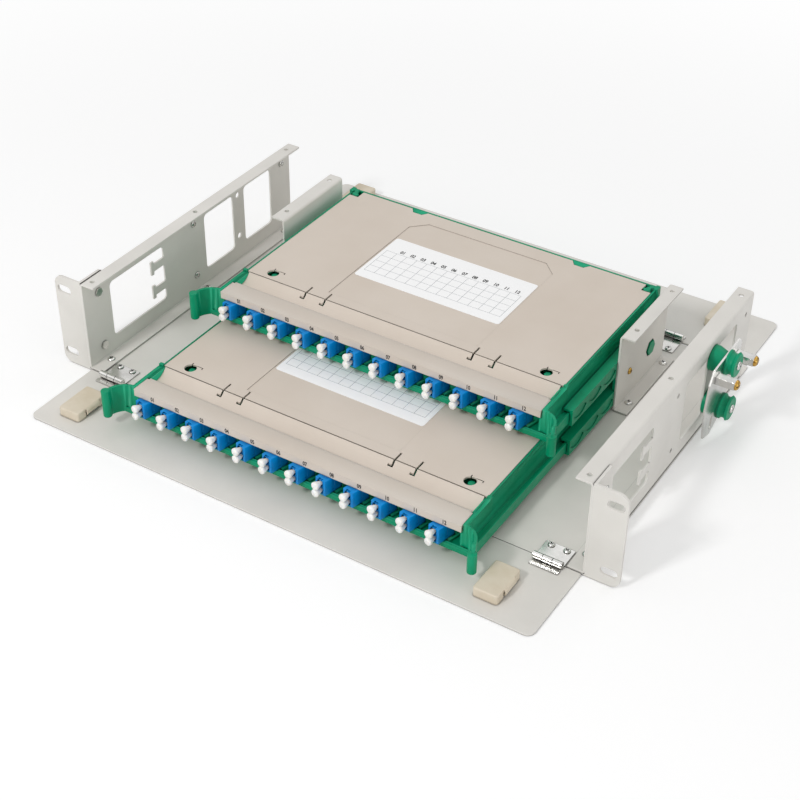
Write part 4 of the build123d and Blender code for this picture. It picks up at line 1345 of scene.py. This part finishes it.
    def build(self) -> None:
        """Dress the tray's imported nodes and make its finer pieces."""
        dress_nodes((self.node("splice"),))
        self.shell()
        self.seams()
        self.row("adapters", self.adapter(), BLUE)
        self.row("dust_caps", self.caps(), WHITE)
        self.lip_numbers()
        self.label()


# Studio

@dataclass
class Studio:
    """Pale table, soft lamps and the camera.

    Attributes:
        fill: Strength of the light from all round.
        lamps: Name, power in watts, side in metres and place of each lamp: one above the front, one behind,
            and a low one at the right.
        lens: Focal length on a 36 mm sensor.
        eye: Place of the camera, in metres.
        forward: Its direction.
        roll: Its turn about its own axis, in degrees.
        sky: Height from 0 to 1, and the share of the fill that shiny surfaces get from there: low and high.
        glow: Light that the camera sees in the table besides what falls on it.
        fade: Distance in metres at which the table begins to turn white, and where it is white.
    """

    fill: float = 0.68
    lamps: tuple[tuple[str, float, float, Corner], ...] = (
        ("key_lamp", 20.0, 0.35, (-0.5, -1.8, 1.65)),
        ("rim_lamp", 2.0, 1.2, (0.6, 1.6, 1.3)),
        ("side_lamp", 4.0, 0.8, (2.0, -0.3, 0.2)))
    lens: float = 71.78
    eye: Corner = (0.5222, -0.7301, 0.6925)
    forward: Corner = (-0.4215, 0.6794, -0.6006)
    roll: float = 0.72
    sky: tuple[tuple[float, float], ...] = ((0.1, 0.3), (0.7, 1.5))
    glow: float = 0.17
    fade: tuple[float, float] = (0.45, 1.1)

    def camera(self) -> None:
        """Stand the camera where the photograph was taken."""
        data = bpy.data.cameras.new("camera")
        data.lens = self.lens
        data.sensor_width = 36.0
        data.clip_start = 0.05
        data.clip_end = 20.0
        camera = shown("camera", data)
        forward = Vector(self.forward).normalized()
        right = forward.cross(Vector((0, 0, 1))).normalized()
        up = right.cross(forward)
        turn = math.radians(self.roll)
        side = right * math.cos(turn) + up * math.sin(turn)
        top = up * math.cos(turn) - right * math.sin(turn)
        matrix = Matrix((side, top, -forward)).transposed().to_4x4()
        matrix.translation = Vector(self.eye)
        camera.matrix_world = matrix
        bpy.context.scene.camera = camera

    def world(self) -> None:
        """Light everything evenly, and show white behind."""
        world = bpy.data.worlds.new("studio_world")
        bpy.context.scene.world = world
        world.use_nodes = True
        tree = world.node_tree
        tree.nodes.clear()
        path = add(tree, "ShaderNodeLightPath")
        seen = maths(tree, "MAXIMUM", path.outputs["Is Camera Ray"], path.outputs["Is Transmission Ray"])
        place = add(tree, "ShaderNodeTexCoord").outputs["Generated"]
        parts = add(tree, "ShaderNodeSeparateXYZ", Vector=place)
        (low, dim), (high, bright) = self.sky
        sky = ramp(tree, parts.outputs["Z"], (low, high), dim * self.fill, bright * self.fill)
        uneven = maths(tree, "SUBTRACT", sky, self.fill)
        strength = maths(tree, "MULTIPLY_ADD", path.outputs["Is Glossy Ray"], uneven, self.fill)
        plain = add(tree, "ShaderNodeBackground", Color=WHITE_LIGHT, Strength=strength)
        white = add(tree, "ShaderNodeBackground", Color=WHITE_LIGHT, Strength=1.0)
        mix = add(tree, "ShaderNodeMixShader", i0=seen, i1=plain.outputs[0], i2=white.outputs[0])
        add(tree, "ShaderNodeOutputWorld", Surface=mix.outputs[0])

    def lamp(self, name: str, power: float, size: float, place: Corner) -> None:
        """Hang one soft square lamp that looks at the panel.

        Args:
            name: The lamp's name.
            power: Its power in watts.
            size: Its side in metres.
            place: Where it hangs.
        """
        data = bpy.data.lights.new(name, "AREA")
        data.energy = power
        data.size = size
        lamp = shown(name, data)
        lamp.location = place
        lamp.rotation_mode = "QUATERNION"
        lamp.rotation_quaternion = (Vector((0, 0.12, 0)) - Vector(place)).to_track_quat("-Z", "Y")

    def table(self) -> None:
        """Lay a pale table under the panel that keeps its shadow and turns white further away."""
        mesh = bpy.data.meshes.new("table")
        half = 4.0
        z = CAD_BOX[0].z - 0.0002
        corners = [(-half, -half, z), (half, -half, z), (half, half, z), (-half, half, z)]
        mesh.from_pydata(corners, [], [(0, 1, 2, 3)])
        table = shown("table", mesh)
        material, tree = new_material("pale_table")
        camera = add(tree, "ShaderNodeLightPath").outputs["Is Camera Ray"]
        matt = add(tree, "ShaderNodeBsdfDiffuse", Color=linear("f2f2f2"))
        glow = add(tree, "ShaderNodeEmission", Color=WHITE_LIGHT,
                   Strength=maths(tree, "MULTIPLY", camera, self.glow))
        near = add(tree, "ShaderNodeAddShader", i0=matt.outputs[0], i1=glow.outputs[0])
        place = add(tree, "ShaderNodeTexCoord").outputs["Object"]
        away = add(tree, "ShaderNodeVectorMath", {"operation": "LENGTH"}, i0=place)
        far = add(tree, "ShaderNodeMapRange", {"interpolation_type": "SMOOTHSTEP"},
                  Value=away.outputs["Value"], From_Min=self.fade[0], From_Max=self.fade[1])
        white = add(tree, "ShaderNodeEmission", Color=WHITE_LIGHT, Strength=1.0)
        both = add(tree, "ShaderNodeMixShader", i0=maths(tree, "MULTIPLY", camera, far.outputs[0]),
                   i1=near.outputs[0], i2=white.outputs[0])
        add(tree, "ShaderNodeOutputMaterial", Surface=both.outputs[0])
        mesh.materials.append(material)

    def build(self) -> None:
        """Set up camera, world, lamps and table."""
        bpy.context.scene.view_settings.view_transform = "Standard"
        self.camera()
        self.world()
        for lamp in self.lamps:
            self.lamp(*lamp)
        self.table()


def main() -> None:
    """Build the studio and the panel's sub-assemblies."""
    logging.basicConfig(level=logging.INFO, format="%(name)s %(message)s")
    Studio().build()
    for part in (Chassis(), Doors(), CableClamp(), Tray("lower"), Tray("upper")):
        part.build()
    bare = [name for name, node in frame["nodes"].items() if not node.hide_render and not node.data.materials]
    log.info("nodes without a finish: %s", bare or "none")


if __name__ == "__main__":
    main()
